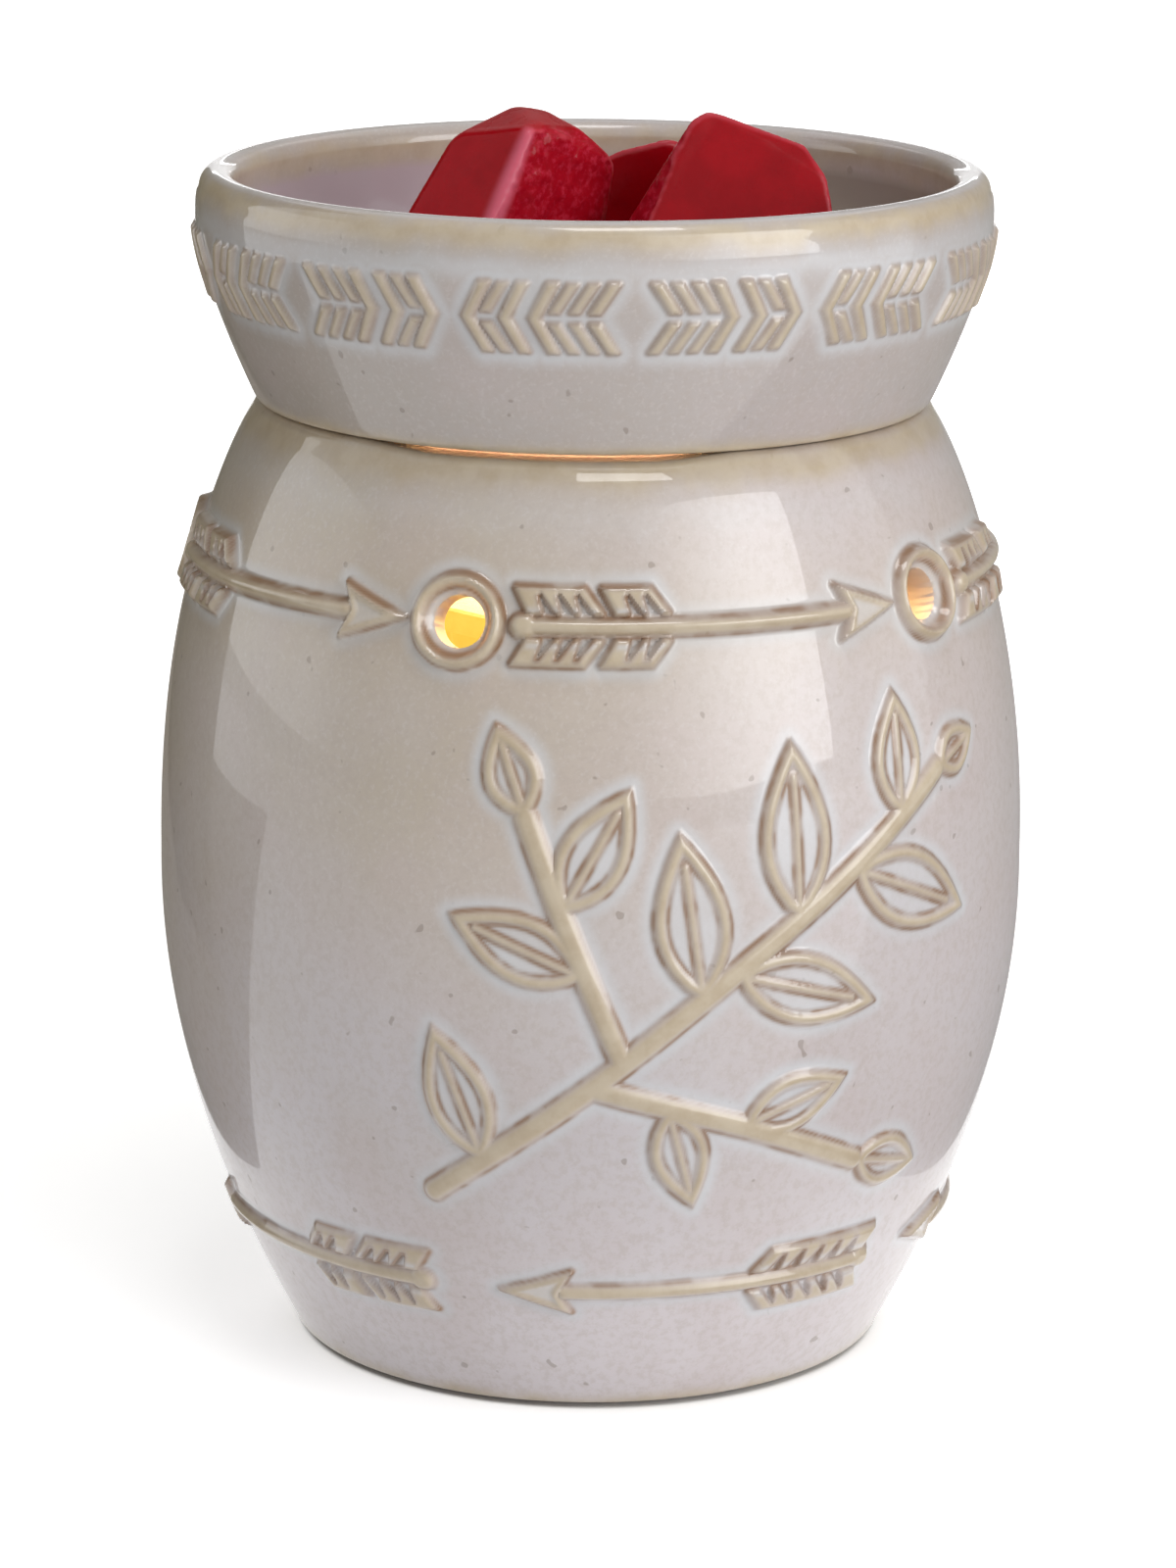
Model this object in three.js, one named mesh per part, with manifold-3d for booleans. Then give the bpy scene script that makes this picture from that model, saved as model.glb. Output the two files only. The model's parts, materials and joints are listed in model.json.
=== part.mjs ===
// Electric fragrance lamp: a glazed ceramic barrel lit from inside by a reflector bulb, with a
// lift-off dish of wax melts on its mouth.
// Millimetres, +Z up. The origin is on the table under the centre, and the front faces -Y.
// Turns about the lamp's axis are in degrees from the front, growing towards +X.

import * as THREE from 'three';
import { ConvexGeometry } from 'three/addons/geometries/ConvexGeometry.js';
import { mergeVertices } from 'three/addons/utils/BufferGeometryUtils.js';
import Module from 'manifold-3d';

const wasm = await Module();
wasm.setup();

// Fits shared by all pieces
const clearance = 0.3;
const screwHoleGap = 0.35;

// Ceramic barrel, outside
const footRadius = 42;
const footLift = 0.8;
const footEdge = 0.6;
const bellyRadius = 60.55;
const bellyHeight = 71;
const rimRadius = 47;
const rimHeight = 133;
const rimEdge = 0.8;
const footFlareOut = 19.9;
const footFlareUp = 36.6;
const bellyPullDown = 6.3;
const bellyPullUp = 37.7;
const shoulderPullOut = 1.1;
const shoulderPullDown = 0.7;

// Ceramic barrel, inside
const barrelWall = 5;
const lipDepth = 6;
const lipSlope = 7;
const ledgeThickness = 5;
const ledgeRadius = 33;
const recessRadius = 38;

// Ring of light holes round the shoulder
const lightHoleCount = 5;
const lightHoleRadius = 3.5;
const lightHoleHeight = 112.7;

// Raised ornament of the barrel: a ring round each light hole, two bands of arrows and a sprig
const reliefSink = 1.2;
const ringRadius = 6.2;
const ringWidth = 3.4;
const ringHeight = 1.5;
const arrowCount = 5;
const arrowHeight = 1.8;
const arrowLength = 54.6;
const nockInset = 0.7;
const upperArrowLevel = 112.6;
const lowerArrowLevel = 20.3;
const shaftHalf = 1.2;
const arrowheadLength = 9.8;
const arrowheadHalf = 3.7;
const arrowheadNotch = 1.7;
const vaneHalf = 5.4;
const vaneSlant = 2.4;
const rearVaneLength = 9.8;
const frontVaneLength = 7;
const vaneGap = 1.7;

// The sprig on the front, laid out flat from its middle: stems through [right, up] places, and
// leaves as [stem, share along it, angle from it, length, width]
const sprigLevel = 66;
const stemHalf = 1.6;
const stemHeight = 0.9;
const leafHeight = 0.75;
const leafSteps = 4;
const sprigStems = [
  [[-41, -31], [-22, -17.5], [0, 0], [20, 14], [35, 24]],
  [[-14, -11], [-21, 6], [-27, 22]],
  [[-18, -14.5], [3, -21], [23, -29]],
];
const sprigLeaves = [
  [0, 0.12, 74, 20, 9.5], [0, 0.46, 60, 23, 10.5], [0, 0.51, -53, 23, 10],
  [0, 0.62, 57, 24, 10.5], [0, 0.73, -57, 24, 11], [0, 0.85, 56, 17, 9], [0, 1, -12, 10.5, 7],
  [1, 0.36, 44, 20, 9.5], [1, 0.6, -50, 19, 9.5], [1, 1, 0, 13, 8],
  [2, 0.27, -56, 16, 8.5], [2, 0.5, 38, 17, 8.5], [2, 1, 10, 15, 8],
];

// Raised chevron band of the dish
const chevronPairs = 7;
const chevronLevel = 19.2;
const chevronHalf = 5;
const chevronSweep = 2.7;
const chevronHeight = 0.9;
const longChevron = 9.6;
const shortChevron = 6.7;
const chevronSplit = 2.1;
const chevronTipGap = 2.5;
const chevronTurn = 13.8;

// Dish
const seatGap = 0.5;
const seatEdge = 0.7;
const dishHeight = 31.5;
const dishBottomRadius = 46.8;
const dishRadius = 54.7;
const dishRimRadius = 54.2;
const dishWidestDrop = 5;
const dishFlareOut = 8.7;
const dishFlareUp = 19;
const dishPullDown = 1.8;
const dishWall = 5;
const dishFloorThickness = 5;
const dishFloorRadius = 32;
const dishCornerOut = 12;
const dishCornerUp = 14.5;
const spigotRadius = 38.5;
const spigotWall = 3;
const spigotDepth = 3;
const spigotPlay = 2.2;

// Wax melts
const meltBlockEdge = 30;
const meltTurn = -17.5;
const melts = {
  left: { color: 0x98141f },
  middle: { color: 0x6f0a18 },
  right: { color: 0xa3181f },
};

// Base plate, with its feet and clips
const rubberFootRadius = 6;
const rubberFootHeight = 2.3;
const rubberFootCircle = 29.5;
const plateThickness = 1.2;
const ventWidth = 4;
const ventInner = 14;
const ventOuter = 21;
const clipCircle = 29.5;
const clipWidth = 8;
const clipThickness = 1.2;
const clipHeelReach = 5;
const clipToeReach = 8.5;

// Screws
const screwShaftRadius = 1.5;
const screwHeadRadius = 2.8;
const screwHeadHeight = 1.8;
const screwTail = 2;

// Bracket that lifts the lamp holder
const bracketHeight = 40;
const bracketHalfSpan = 14;
const bracketWidth = 16;
const bracketFlange = 10;
const bracketSheet = 1.2;
const bracketBend = 2;
const wireHoleRadius = 5;

// Lamp holder
const holderRadius = 15;
const holderHeight = 16;
const holderEdge = 1;
const holderScrewSpan = 21;
const holderCapThickness = 4.2;
const holderCapRadius = 9.6;
const holderCapWidth = 13.6;
const holderWellRadius = 7.8;
const holderWellDepth = 8;
const slotTurn = 25;

// Reflector bulb
const pinSpan = 10;
const pinNeckRadius = 1.55;
const pinHeadRadius = 2.4;
const pinHeadHeight = 3;
const pinGap = 0.35;
const bulbBaseRadius = 8.8;
const bulbCollarRadius = 12;
const bulbBaseHeight = 19;
const bulbCollarHeight = 5;
const reflectorRadius = 25;
const reflectorHeight = 26;
const reflectorGlass = 1.4;
const reflectorRim = 3;
const frontGlassThickness = 1.6;
const capsuleRadius = 4.5;
const capsuleHeight = 15;

// Mains connection and the cord's outlet
const blockWidth = 18;
const blockDepth = 12;
const blockHeight = 11;
const blockSetback = 14;
const terminalRadius = 2;
const terminalSpan = 9;
const terminalRowSpan = 6;
const leadRadius = 1;
const leadSpan = 6;
const cordOutletHeight = 17;
const cordOutletRadius = 6.2;
const cordBoreRadius = 4;
const grommetFlange = 2;
const grommetFlangeRadius = 8.4;

// Levels that follow from the sizes above
const plateBottom = rubberFootHeight + clearance;
const plateTop = plateBottom + plateThickness;
const ledgeBottom = plateTop + clearance;
const ledgeTop = ledgeBottom + ledgeThickness;
const clipBottom = ledgeTop + clearance;
const bracketFoot = plateTop + clearance;
const bracketTop = bracketFoot + bracketHeight;
const holderBottom = bracketTop + clearance;
const holderTop = holderBottom + holderHeight;
const bulbBottom = holderTop + clearance;
const bulbCollarTop = bulbBottom + bulbBaseHeight;
const reflectorBottom = bulbCollarTop + clearance;
const reflectorTop = reflectorBottom + reflectorHeight;
const seatHeight = rimHeight + seatGap;
const dishTop = seatHeight + dishHeight;
const dishWidest = dishTop - dishWidestDrop;
const mouthRadius = spigotRadius + spigotPlay;
const dishFloorUnderside = seatHeight + 1;
const dishFloor = dishFloorUnderside + dishFloorThickness;
const screwHoleRadius = screwShaftRadius + screwHoleGap;

// Facets round the ceramic walls, and rows up each half of the barrel
const outsideFacets = 40;
const insideFacets = 24;
const outsideRows = 7;
const insideRows = 4;

const radians = THREE.MathUtils.degToRad;
const full = Math.PI * 2;
const vec = (x, y, z) => new THREE.Vector3(x, y, z);

// Closed solid from a geometry, with the shared corners merged and slivers left out
function solid(geometry) {
  const bare = new THREE.BufferGeometry();
  bare.setAttribute('position', geometry.getAttribute('position').clone());
  if (geometry.index) bare.setIndex(geometry.index.clone());
  const merged = mergeVertices(bare, 1e-4);
  const index = [];
  for (let i = 0; i < merged.index.count; i += 3) {
    const corners = [0, 1, 2].map((k) => merged.index.getX(i + k));
    if (new Set(corners).size === 3) index.push(...corners);
  }
  return new wasm.Manifold(new wasm.Mesh({
    numProp: 3,
    vertProperties: new Float32Array(merged.getAttribute('position').array),
    triVerts: new Uint32Array(index),
  }));
}

function geometryOf(body) {
  const mesh = body.getMesh();
  const geometry = new THREE.BufferGeometry();
  geometry.setAttribute('position', new THREE.BufferAttribute(mesh.vertProperties, 3));
  geometry.setIndex(new THREE.BufferAttribute(mesh.triVerts, 1));
  geometry.computeVertexNormals();
  return geometry;
}

// Solid of revolution about +Z, from a closed outline of [radius, height] corners
function turned(outline, segments) {
  const points = outline.map(([r, z]) => new THREE.Vector2(r, z));
  return solid(new THREE.LatheGeometry(points, segments).rotateX(Math.PI / 2));
}

// Solid of revolution about +Z whose outline starts and ends on the axis
function spun(outline, segments) {
  const [first, last] = [outline[0], outline[outline.length - 1]];
  return turned([[0, first[1]], ...outline, [0, last[1]]], segments);
}

// Solid of revolution about +Z, from the outline of its section clear of the axis
function ring(outline, segments) {
  return turned([...outline, outline[0]], segments);
}

// Upright plate: a shape in plan, with its thickness from one level to another
function plate(shape, bottom, top, curveSegments = 8) {
  const options = { depth: top - bottom, bevelEnabled: false, curveSegments };
  return solid(new THREE.ExtrudeGeometry(shape, options).translate(0, 0, bottom));
}

function disc(radius, bottom, top, segments = 24) {
  return spun([[radius, bottom], [radius, top]], segments);
}

// Moves a solid by a three.js matrix
function placed(body, matrix) {
  return body.transform(matrix.elements);
}

const moved = (body, x, y, z) => placed(body, new THREE.Matrix4().makeTranslation(x, y, z));
const spunBy = (body, degrees) => placed(body, new THREE.Matrix4().makeRotationZ(radians(degrees)));

// Point at a radius, a turn from the front and a height
const around = (radius, turn, z = 0) => vec(
  radius * Math.sin(radians(turn)), -radius * Math.cos(radians(turn)), z);

// Curves of the barrel and the dish, as radius against height
function curve(...corners) {
  return new THREE.CubicBezierCurve(...corners.map(([r, z]) => new THREE.Vector2(r, z)));
}

const pairs = (points) => points.map((p) => [p.x, p.y]);

const lowerBarrel = curve(
  [footRadius, footLift + footEdge],
  [footRadius + footFlareOut, footLift + footEdge + footFlareUp],
  [bellyRadius, bellyHeight - bellyPullDown],
  [bellyRadius, bellyHeight]);
const upperBarrel = curve(
  [bellyRadius, bellyHeight],
  [bellyRadius, bellyHeight + bellyPullUp],
  [rimRadius + shoulderPullOut, rimHeight - rimEdge - shoulderPullDown],
  [rimRadius, rimHeight - rimEdge]);
const dishSide = curve(
  [dishBottomRadius, seatHeight + seatEdge],
  [dishBottomRadius + dishFlareOut, seatHeight + seatEdge + dishFlareUp],
  [dishRadius, dishWidest - dishPullDown],
  [dishRadius, dishWidest]);

// Outer radius at a height, and the slope of the wall there
function profile(...sides) {
  const points = sides.flatMap((side) => side.getPoints(60));
  return (height) => {
    const k = Math.max(1, points.findIndex((p) => p.y >= height));
    const [a, b] = [points[k - 1], points[k]];
    const share = (height - a.y) / Math.max(b.y - a.y, 1e-6);
    return { radius: a.x + (b.x - a.x) * share, lean: Math.atan2(b.x - a.x, b.y - a.y) };
  };
}

const barrelAt = profile(lowerBarrel, upperBarrel);
const dishAt = profile(dishSide);

// Wraps a flat ornament round a wall: x runs round it, y up it and z out of it
function wrapped(geometry, wall, turn, level) {
  const position = geometry.getAttribute('position');
  const middle = wall(level);
  for (let i = 0; i < position.count; i += 1) {
    const height = level + position.getY(i) * Math.cos(middle.lean);
    const { radius, lean } = wall(height);
    const out = radius + position.getZ(i) / Math.cos(lean);
    const at = around(out, turn + THREE.MathUtils.radToDeg(position.getX(i) / middle.radius), height);
    position.setXYZ(i, at.x, at.y, at.z);
  }
  return solid(geometry);
}

// Flat ornament with its foot sunk in the wall
function raised(shape, height) {
  return new THREE.ExtrudeGeometry(shape, { depth: height + reliefSink, bevelEnabled: false })
    .translate(0, 0, -reliefSink);
}

// Placement on the barrel's wall: local +Z points out of the wall and local +Y up along it
function onBarrel(turn, height) {
  const { radius, lean } = barrelAt(height);
  const out = around(Math.cos(lean), turn, -Math.sin(lean));
  const side = around(1, turn + 90);
  const up = vec().crossVectors(out, side);
  const matrix = new THREE.Matrix4().makeBasis(side, up, out);
  return matrix.setPosition(around(radius, turn, height));
}

// The barrel's side moved in or out by a distance, square to the wall
function wallOffset(distance, rows) {
  const points = [];
  for (const [side, count] of [[lowerBarrel, rows], [upperBarrel, rows]]) {
    for (let i = 0; i <= count; i += 1) {
      const at = side.getPoint(i / count);
      const along = side.getTangent(i / count);
      points.push([at.x + along.y * distance, at.y - along.x * distance]);
    }
  }
  points.splice(rows + 1, 1);
  return points;
}

const lamp = new THREE.Group();
const barrel = new THREE.Group();
const dish = new THREE.Group();
const bulb = new THREE.Group();
lamp.add(barrel, dish, bulb);

function add(group, name, body, color, roughness, metalness = 0) {
  const material = new THREE.MeshStandardMaterial({ color, roughness, metalness });
  const mesh = new THREE.Mesh(geometryOf(body), material);
  mesh.name = name;
  group.add(mesh);
  return mesh;
}

const glaze = [0xc8c0bd, 0.12];
const steel = [0xb4b7ba, 0.35, 1];
const zinc = [0xc9cbcd, 0.3, 1];
const holderCeramic = [0xe6e1d6, 0.55];
const blackRubber = [0x1c1c1d, 0.85];

// Barrel shell: outside, mouth with its lip, hollow inside, and the ledge over the base plate
function barrelOutside() {
  return spun([
    [footRadius - footEdge, footLift],
    ...pairs(lowerBarrel.getPoints(outsideRows)),
    ...pairs(upperBarrel.getPoints(outsideRows)).slice(1),
    [rimRadius - rimEdge, rimHeight],
  ], outsideFacets);
}

const lipBottom = rimHeight - lipDepth;
const wallTop = lipBottom - lipSlope;

function hollowSide(gap) {
  const inside = barrelWall + gap;
  const rows = wallOffset(-inside, insideRows);
  return [
    [barrelAt(ledgeTop).radius - inside, ledgeTop],
    ...rows.filter(([, z]) => z > ledgeTop + 2 && z < wallTop - 2),
    [barrelAt(wallTop).radius - inside, wallTop],
  ];
}

function barrelHollow() {
  return spun([
    [recessRadius, footLift - 1],
    [recessRadius, ledgeBottom],
    [ledgeRadius, ledgeBottom],
    [ledgeRadius, ledgeTop],
    ...hollowSide(0),
    [mouthRadius, lipBottom],
    [mouthRadius, rimHeight - rimEdge],
    [mouthRadius + rimEdge, rimHeight],
    [mouthRadius + rimEdge, rimHeight + 1],
  ], insideFacets);
}

let shell = barrelOutside().subtract(barrelHollow());
const lightHoleStep = 360 / lightHoleCount;
const holeRing = ring([
  [ringRadius - ringWidth / 2, -reliefSink],
  [ringRadius + ringWidth / 2, -reliefSink],
  [ringRadius + ringWidth / 2, ringHeight * 0.4],
  [ringRadius, ringHeight],
  [ringRadius - ringWidth / 2, ringHeight * 0.4],
], 12);
for (let i = 0; i < lightHoleCount; i += 1) {
  const place = onBarrel((i + 0.5) * lightHoleStep, lightHoleHeight);
  const drill = disc(lightHoleRadius, -barrelWall * 2, barrelWall, 12);
  shell = shell.add(placed(holeRing, place)).subtract(placed(drill, place));
}

// Flat arrow along x: a shaft, a barbed head, and two slanting vanes on each side of its tail
const [arrowTail, arrowTip] = [-arrowLength / 2, arrowLength / 2];
const arrowVanes = [
  [arrowTail, rearVaneLength],
  [arrowTail + rearVaneLength + vaneGap, frontVaneLength],
];
const outlineShape = (points) => new THREE.Shape(points.map(([x, y]) => new THREE.Vector2(x, y)));

function arrowShape() {
  const edge = [[arrowTail + nockInset, 0], [arrowTail + nockInset, shaftHalf]];
  for (const [from, length] of arrowVanes) {
    edge.push(
      [from + vaneSlant, shaftHalf], [from, vaneHalf],
      [from + length, vaneHalf], [from + length + vaneSlant, shaftHalf]);
  }
  const headRear = arrowTip - arrowheadLength;
  const [bare, neck] = [edge[edge.length - 1][0], headRear + arrowheadNotch];
  for (let k = 1; k < 4; k += 1) edge.push([bare + (neck - bare) * k / 4, shaftHalf]);
  edge.push([neck, shaftHalf], [headRear, arrowheadHalf], [arrowTip, 0]);
  const lower = edge.slice(1, -1).map(([x, y]) => [x, -y]).reverse();
  return outlineShape([...edge, ...lower]);
}

// Arrow on the barrel: to the right at 0 degrees of roll, to the left at 180
function arrow(turn, level, roll) {
  const flat = raised(arrowShape(), arrowHeight).rotateZ(radians(roll));
  return wrapped(flat, barrelAt, turn, level);
}

// The lower arrows stop short of the flange round the cord's outlet
const cordOutlet = onBarrel(180, cordOutletHeight);
const padRadius = grommetFlangeRadius + clearance * 2;
const outletPad = placed(disc(padRadius, -barrelWall, barrelWall, 20), cordOutlet);
for (let i = 0; i < arrowCount; i += 1) {
  const turn = i * 360 / arrowCount;
  shell = shell
    .add(arrow(turn, upperArrowLevel, 0))
    .add(arrow(turn, lowerArrowLevel, 180).subtract(outletPad));
}

// Sprig: a ribbon along each stem, and pointed leaves that grow from them
const stems = sprigStems.map((places) => (
  new THREE.SplineCurve(places.map(([x, y]) => new THREE.Vector2(x, y)))));
const leafBulge = (share) => Math.max(0, Math.sin(Math.PI * share ** 0.85)) ** 0.9;

// Ribbon on the barrel between matching points of its left and right edges
function ribbon(left, right, height) {
  const corners = left.flatMap((at, k) => [
    vec(at.x, at.y, -reliefSink), vec(right[k].x, right[k].y, -reliefSink),
    vec(right[k].x, right[k].y, height), vec(at.x, at.y, height),
  ]);
  const index = [0, 1, 2, 0, 2, 3];
  for (let k = 4; k < corners.length; k += 4) {
    for (let side = 0; side < 4; side += 1) {
      const [a, b] = [k + side, k + (side + 1) % 4];
      index.push(a - 4, b, b - 4, a - 4, a, b);
    }
  }
  const end = corners.length - 4;
  index.push(end, end + 2, end + 1, end, end + 3, end + 2);
  const geometry = new THREE.BufferGeometry().setFromPoints(corners).setIndex(index);
  return wrapped(geometry, barrelAt, 0, sprigLevel);
}

function stemRibbon(stem, steps) {
  const [left, right] = [1, -1].map((side) => stem.getPoints(steps).map((at, k) => {
    const across = stem.getTangent(k / steps).rotateAround(new THREE.Vector2(), side * Math.PI / 2);
    return across.multiplyScalar(stemHalf).add(at);
  }));
  return ribbon(left, right, stemHeight);
}

function leafRibbon([stem, share, angle, length, width]) {
  const turn = stems[stem].getTangent(share).angle() + radians(angle);
  const [left, right] = [1, -1].map((side) => Array.from({ length: leafSteps + 1 }, (_, k) => {
    const along = k / leafSteps;
    return new THREE.Vector2(length * along, side * width / 2 * leafBulge(along))
      .rotateAround(new THREE.Vector2(), turn).add(stems[stem].getPoint(share));
  }));
  return ribbon(left, right, leafHeight);
}

for (const leaf of sprigLeaves) shell = shell.add(leafRibbon(leaf));
for (const stem of stems) shell = shell.add(stemRibbon(stem, 2 * stem.points.length - 2));
const outletDrill = disc(cordOutletRadius, -barrelWall * 2, barrelWall, 20);
shell = shell.subtract(placed(outletDrill, cordOutlet));
add(barrel, 'barrel_shell', shell, ...glaze);

// Grommet: a sleeve in the outlet with a flange on each face of the wall
const grommetNeck = cordOutletRadius - clearance;
const grommetBlank = disc(grommetFlangeRadius, -barrelWall - grommetFlange, grommetFlange, 20);
const wallBand = spun(wallOffset(clearance, outsideRows), outsideFacets)
  .subtract(spun(hollowSide(clearance), insideFacets));
const grommetGroove = wallBand.subtract(
  placed(disc(grommetNeck, -barrelWall * 3, barrelWall * 2, 20), cordOutlet));
const grommetBore = disc(cordBoreRadius, -barrelWall * 3, barrelWall * 2, 16);
const grommet = placed(grommetBlank.subtract(grommetBore), cordOutlet).subtract(grommetGroove);
add(barrel, 'cord_grommet', grommet, ...blackRubber);

// Dish: spigot in the barrel's mouth, seat on its rim, flared side and rounded rim
const dishOutline = [
  [spigotRadius - spigotWall, seatHeight - spigotDepth],
  [spigotRadius, seatHeight - spigotDepth],
  [spigotRadius, seatHeight],
  [dishBottomRadius - seatEdge, seatHeight],
  ...pairs(dishSide.getPoints(6)),
];
const rimTop = new THREE.EllipseCurve(
  dishRimRadius - dishWall / 2, dishTop - dishWall / 2, dishWall / 2, dishWall / 2, 0, Math.PI);
dishOutline.push(...pairs(rimTop.getPoints(5)));
const dishInner = dishRimRadius - dishWall;
const dishInside = curve(
  [dishInner, dishTop - dishWall / 2],
  [dishInner, dishTop - dishWall / 2 - dishCornerUp],
  [dishFloorRadius + dishCornerOut, dishFloor],
  [dishFloorRadius, dishFloor]);
dishOutline.push(...pairs(dishInside.getPoints(5)).slice(1));
let dishSolid = turned([
  [0, dishFloorUnderside],
  [spigotRadius - spigotWall, dishFloorUnderside],
  ...dishOutline,
  [0, dishFloor],
], outsideFacets);

// Chevron band: each pair points both ways round the dish, a long piece behind a short one
function chevron(from, length, way) {
  const points = [
    [from, chevronHalf], [from + chevronSweep, 0], [from, -chevronHalf],
    [from + length, -chevronHalf], [from + length + chevronSweep, 0], [from + length, chevronHalf],
  ];
  return outlineShape(points.map(([x, y]) => [x * way, y]));
}

const shortStart = -chevronTipGap / 2 - chevronSweep - shortChevron;
const longStart = shortStart - chevronSplit - longChevron;
for (let i = 0; i < chevronPairs; i += 1) {
  const turn = chevronTurn + i * 360 / chevronPairs;
  for (const way of [-1, 1]) {
    for (const [from, length] of [[longStart, longChevron], [shortStart, shortChevron]]) {
      const piece = raised(chevron(from, length, way), chevronHeight);
      dishSolid = dishSolid.add(wrapped(piece, dishAt, turn, seatHeight + chevronLevel));
    }
  }
}
add(dish, 'fragrance_dish', dishSolid, ...glaze);

// Wax melts: broken chunks of moulded blocks, leaning on each other on the dish's floor.
// Corners are [right, back, up] as the melts lie there, in hundredths of the block's edge.
melts.left.corners = [
  [-28, -23, 107], [-50, -40, 55], [-67, -47, 3], [-65, 0, 100], [-88, -10, 62],
  [-103, 0, 3], [-37, 10, 113], [-22, 7, 111], [-5, 7, 102], [10, 10, 88],
  [-3, 10, 3], [-40, 40, 93], [-80, 40, 47], [-83, 47, 3], [-10, 43, 3], [0, 40, 67],
];
melts.right.corners = [
  [51, -20, 108], [59, -18, 112], [65, -18, 111], [95, -18, 99],
  [105, -23, 85], [110, -30, 60], [103, -43, 3], [7, -45, 3], [21, -32, 58],
  [12, -13, 58], [-2, -17, 3], [57, 27, 103], [93, 27, 90], [103, 30, 50], [97, 33, 3], [17, 30, 3],
];
melts.middle.corners = [
  [-13, 53, 73], [11, 53, 87], [35, 55, 93], [42, 60, 90], [53, 53, 47],
  [57, 53, 3], [-30, 53, 3], [-13, 97, 57], [30, 97, 67], [43, 100, 3], [-27, 100, 3],
];
for (const [side, melt] of Object.entries(melts)) {
  const corners = melt.corners.map((c) => vec(...c).multiplyScalar(meltBlockEdge / 100));
  const chunk = solid(new ConvexGeometry(corners));
  const lowest = Math.min(...corners.map((c) => c.z));
  const mesh = add(dish, `wax_melt_${side}`, chunk, melt.color, 0.3);
  mesh.rotation.z = radians(meltTurn);
  mesh.position.z = dishFloor + clearance * 2 - lowest;
}

// Base plate with vents, and holes for the clip and bracket screws
const clipTurns = [0, 120, 240];
const bracketScrewX = bracketHalfSpan + bracketFlange / 2 + bracketSheet / 2;
const plateDrill = disc(screwHoleRadius, plateBottom - 1, plateTop + 1, 8);
let basePlate = disc(recessRadius - clearance, plateBottom, plateTop, insideFacets);
for (const turn of clipTurns) {
  const at = around(clipCircle, turn);
  basePlate = basePlate.subtract(moved(plateDrill, at.x, at.y, 0));
}
for (const x of [-bracketScrewX, bracketScrewX]) {
  basePlate = basePlate.subtract(moved(plateDrill, x, 0, 0));
}
const ventShape = new THREE.Shape()
  .moveTo(ventWidth / 2, -ventOuter)
  .lineTo(ventWidth / 2, -ventInner)
  .absarc(0, -ventInner, ventWidth / 2, 0, Math.PI)
  .lineTo(-ventWidth / 2, -ventOuter)
  .absarc(0, -ventOuter, ventWidth / 2, Math.PI, full);
for (const turn of [0, 45, 135, 225, 315]) {
  const vent = plate(ventShape, plateBottom - 1, plateTop + 1, 2);
  basePlate = basePlate.subtract(spunBy(vent, turn));
}
add(barrel, 'base_plate', basePlate, ...steel);

// Pan-head screw: the head's seat at z = 0 and the shaft below it
function screw(length, headRadius = screwHeadRadius, shaftRadius = screwShaftRadius) {
  return spun([
    [shaftRadius, -length],
    [shaftRadius, 0],
    [headRadius, 0],
    [headRadius * 0.75, screwHeadHeight],
  ], 8);
}

const upsideDown = new THREE.Matrix4().makeRotationX(Math.PI);

// Clips: a heel on the plate and a toe over the barrel's ledge, each with its screw from below
const clipSide = new THREE.Shape()
  .moveTo(clipCircle - clipHeelReach, bracketFoot)
  .lineTo(clipCircle - clipHeelReach + clipThickness, bracketFoot)
  .lineTo(clipCircle - clipHeelReach + clipThickness, clipBottom)
  .lineTo(clipCircle + clipToeReach, clipBottom)
  .lineTo(clipCircle + clipToeReach, clipBottom + clipThickness)
  .lineTo(clipCircle - clipHeelReach, clipBottom + clipThickness);
// The side view lies in [radius, height]: stand it up so that its radius runs to the front
const standUp = new THREE.Matrix4().makeBasis(vec(0, -1, 0), vec(0, 0, 1), vec(-1, 0, 0));
const clipDrill = moved(disc(screwHoleRadius, 0, clipBottom + 5, 8), 0, -clipCircle, 0);
const clip = placed(plate(clipSide, -clipWidth / 2, clipWidth / 2), standUp).subtract(clipDrill);
const clipScrewLength = clipBottom + clipThickness + screwTail - plateBottom + clearance;
clipTurns.forEach((turn, i) => {
  add(barrel, `base_clip_${i + 1}`, spunBy(clip, turn), ...steel);
  const mesh = add(barrel, `base_screw_${i + 1}`, placed(screw(clipScrewLength), upsideDown), ...zinc);
  mesh.position.copy(around(clipCircle, turn, plateBottom - clearance));
});

// Rubber feet, midway between the clips
const foot = spun([
  [rubberFootRadius, 0],
  [rubberFootRadius, rubberFootHeight * 0.7],
  [rubberFootRadius * 0.9, rubberFootHeight],
], 16);
clipTurns.forEach((turn, i) => {
  const mesh = add(barrel, `rubber_foot_${i + 1}`, foot, ...blackRubber);
  mesh.position.copy(around(rubberFootCircle, turn + 180 / clipTurns.length));
});

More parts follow.
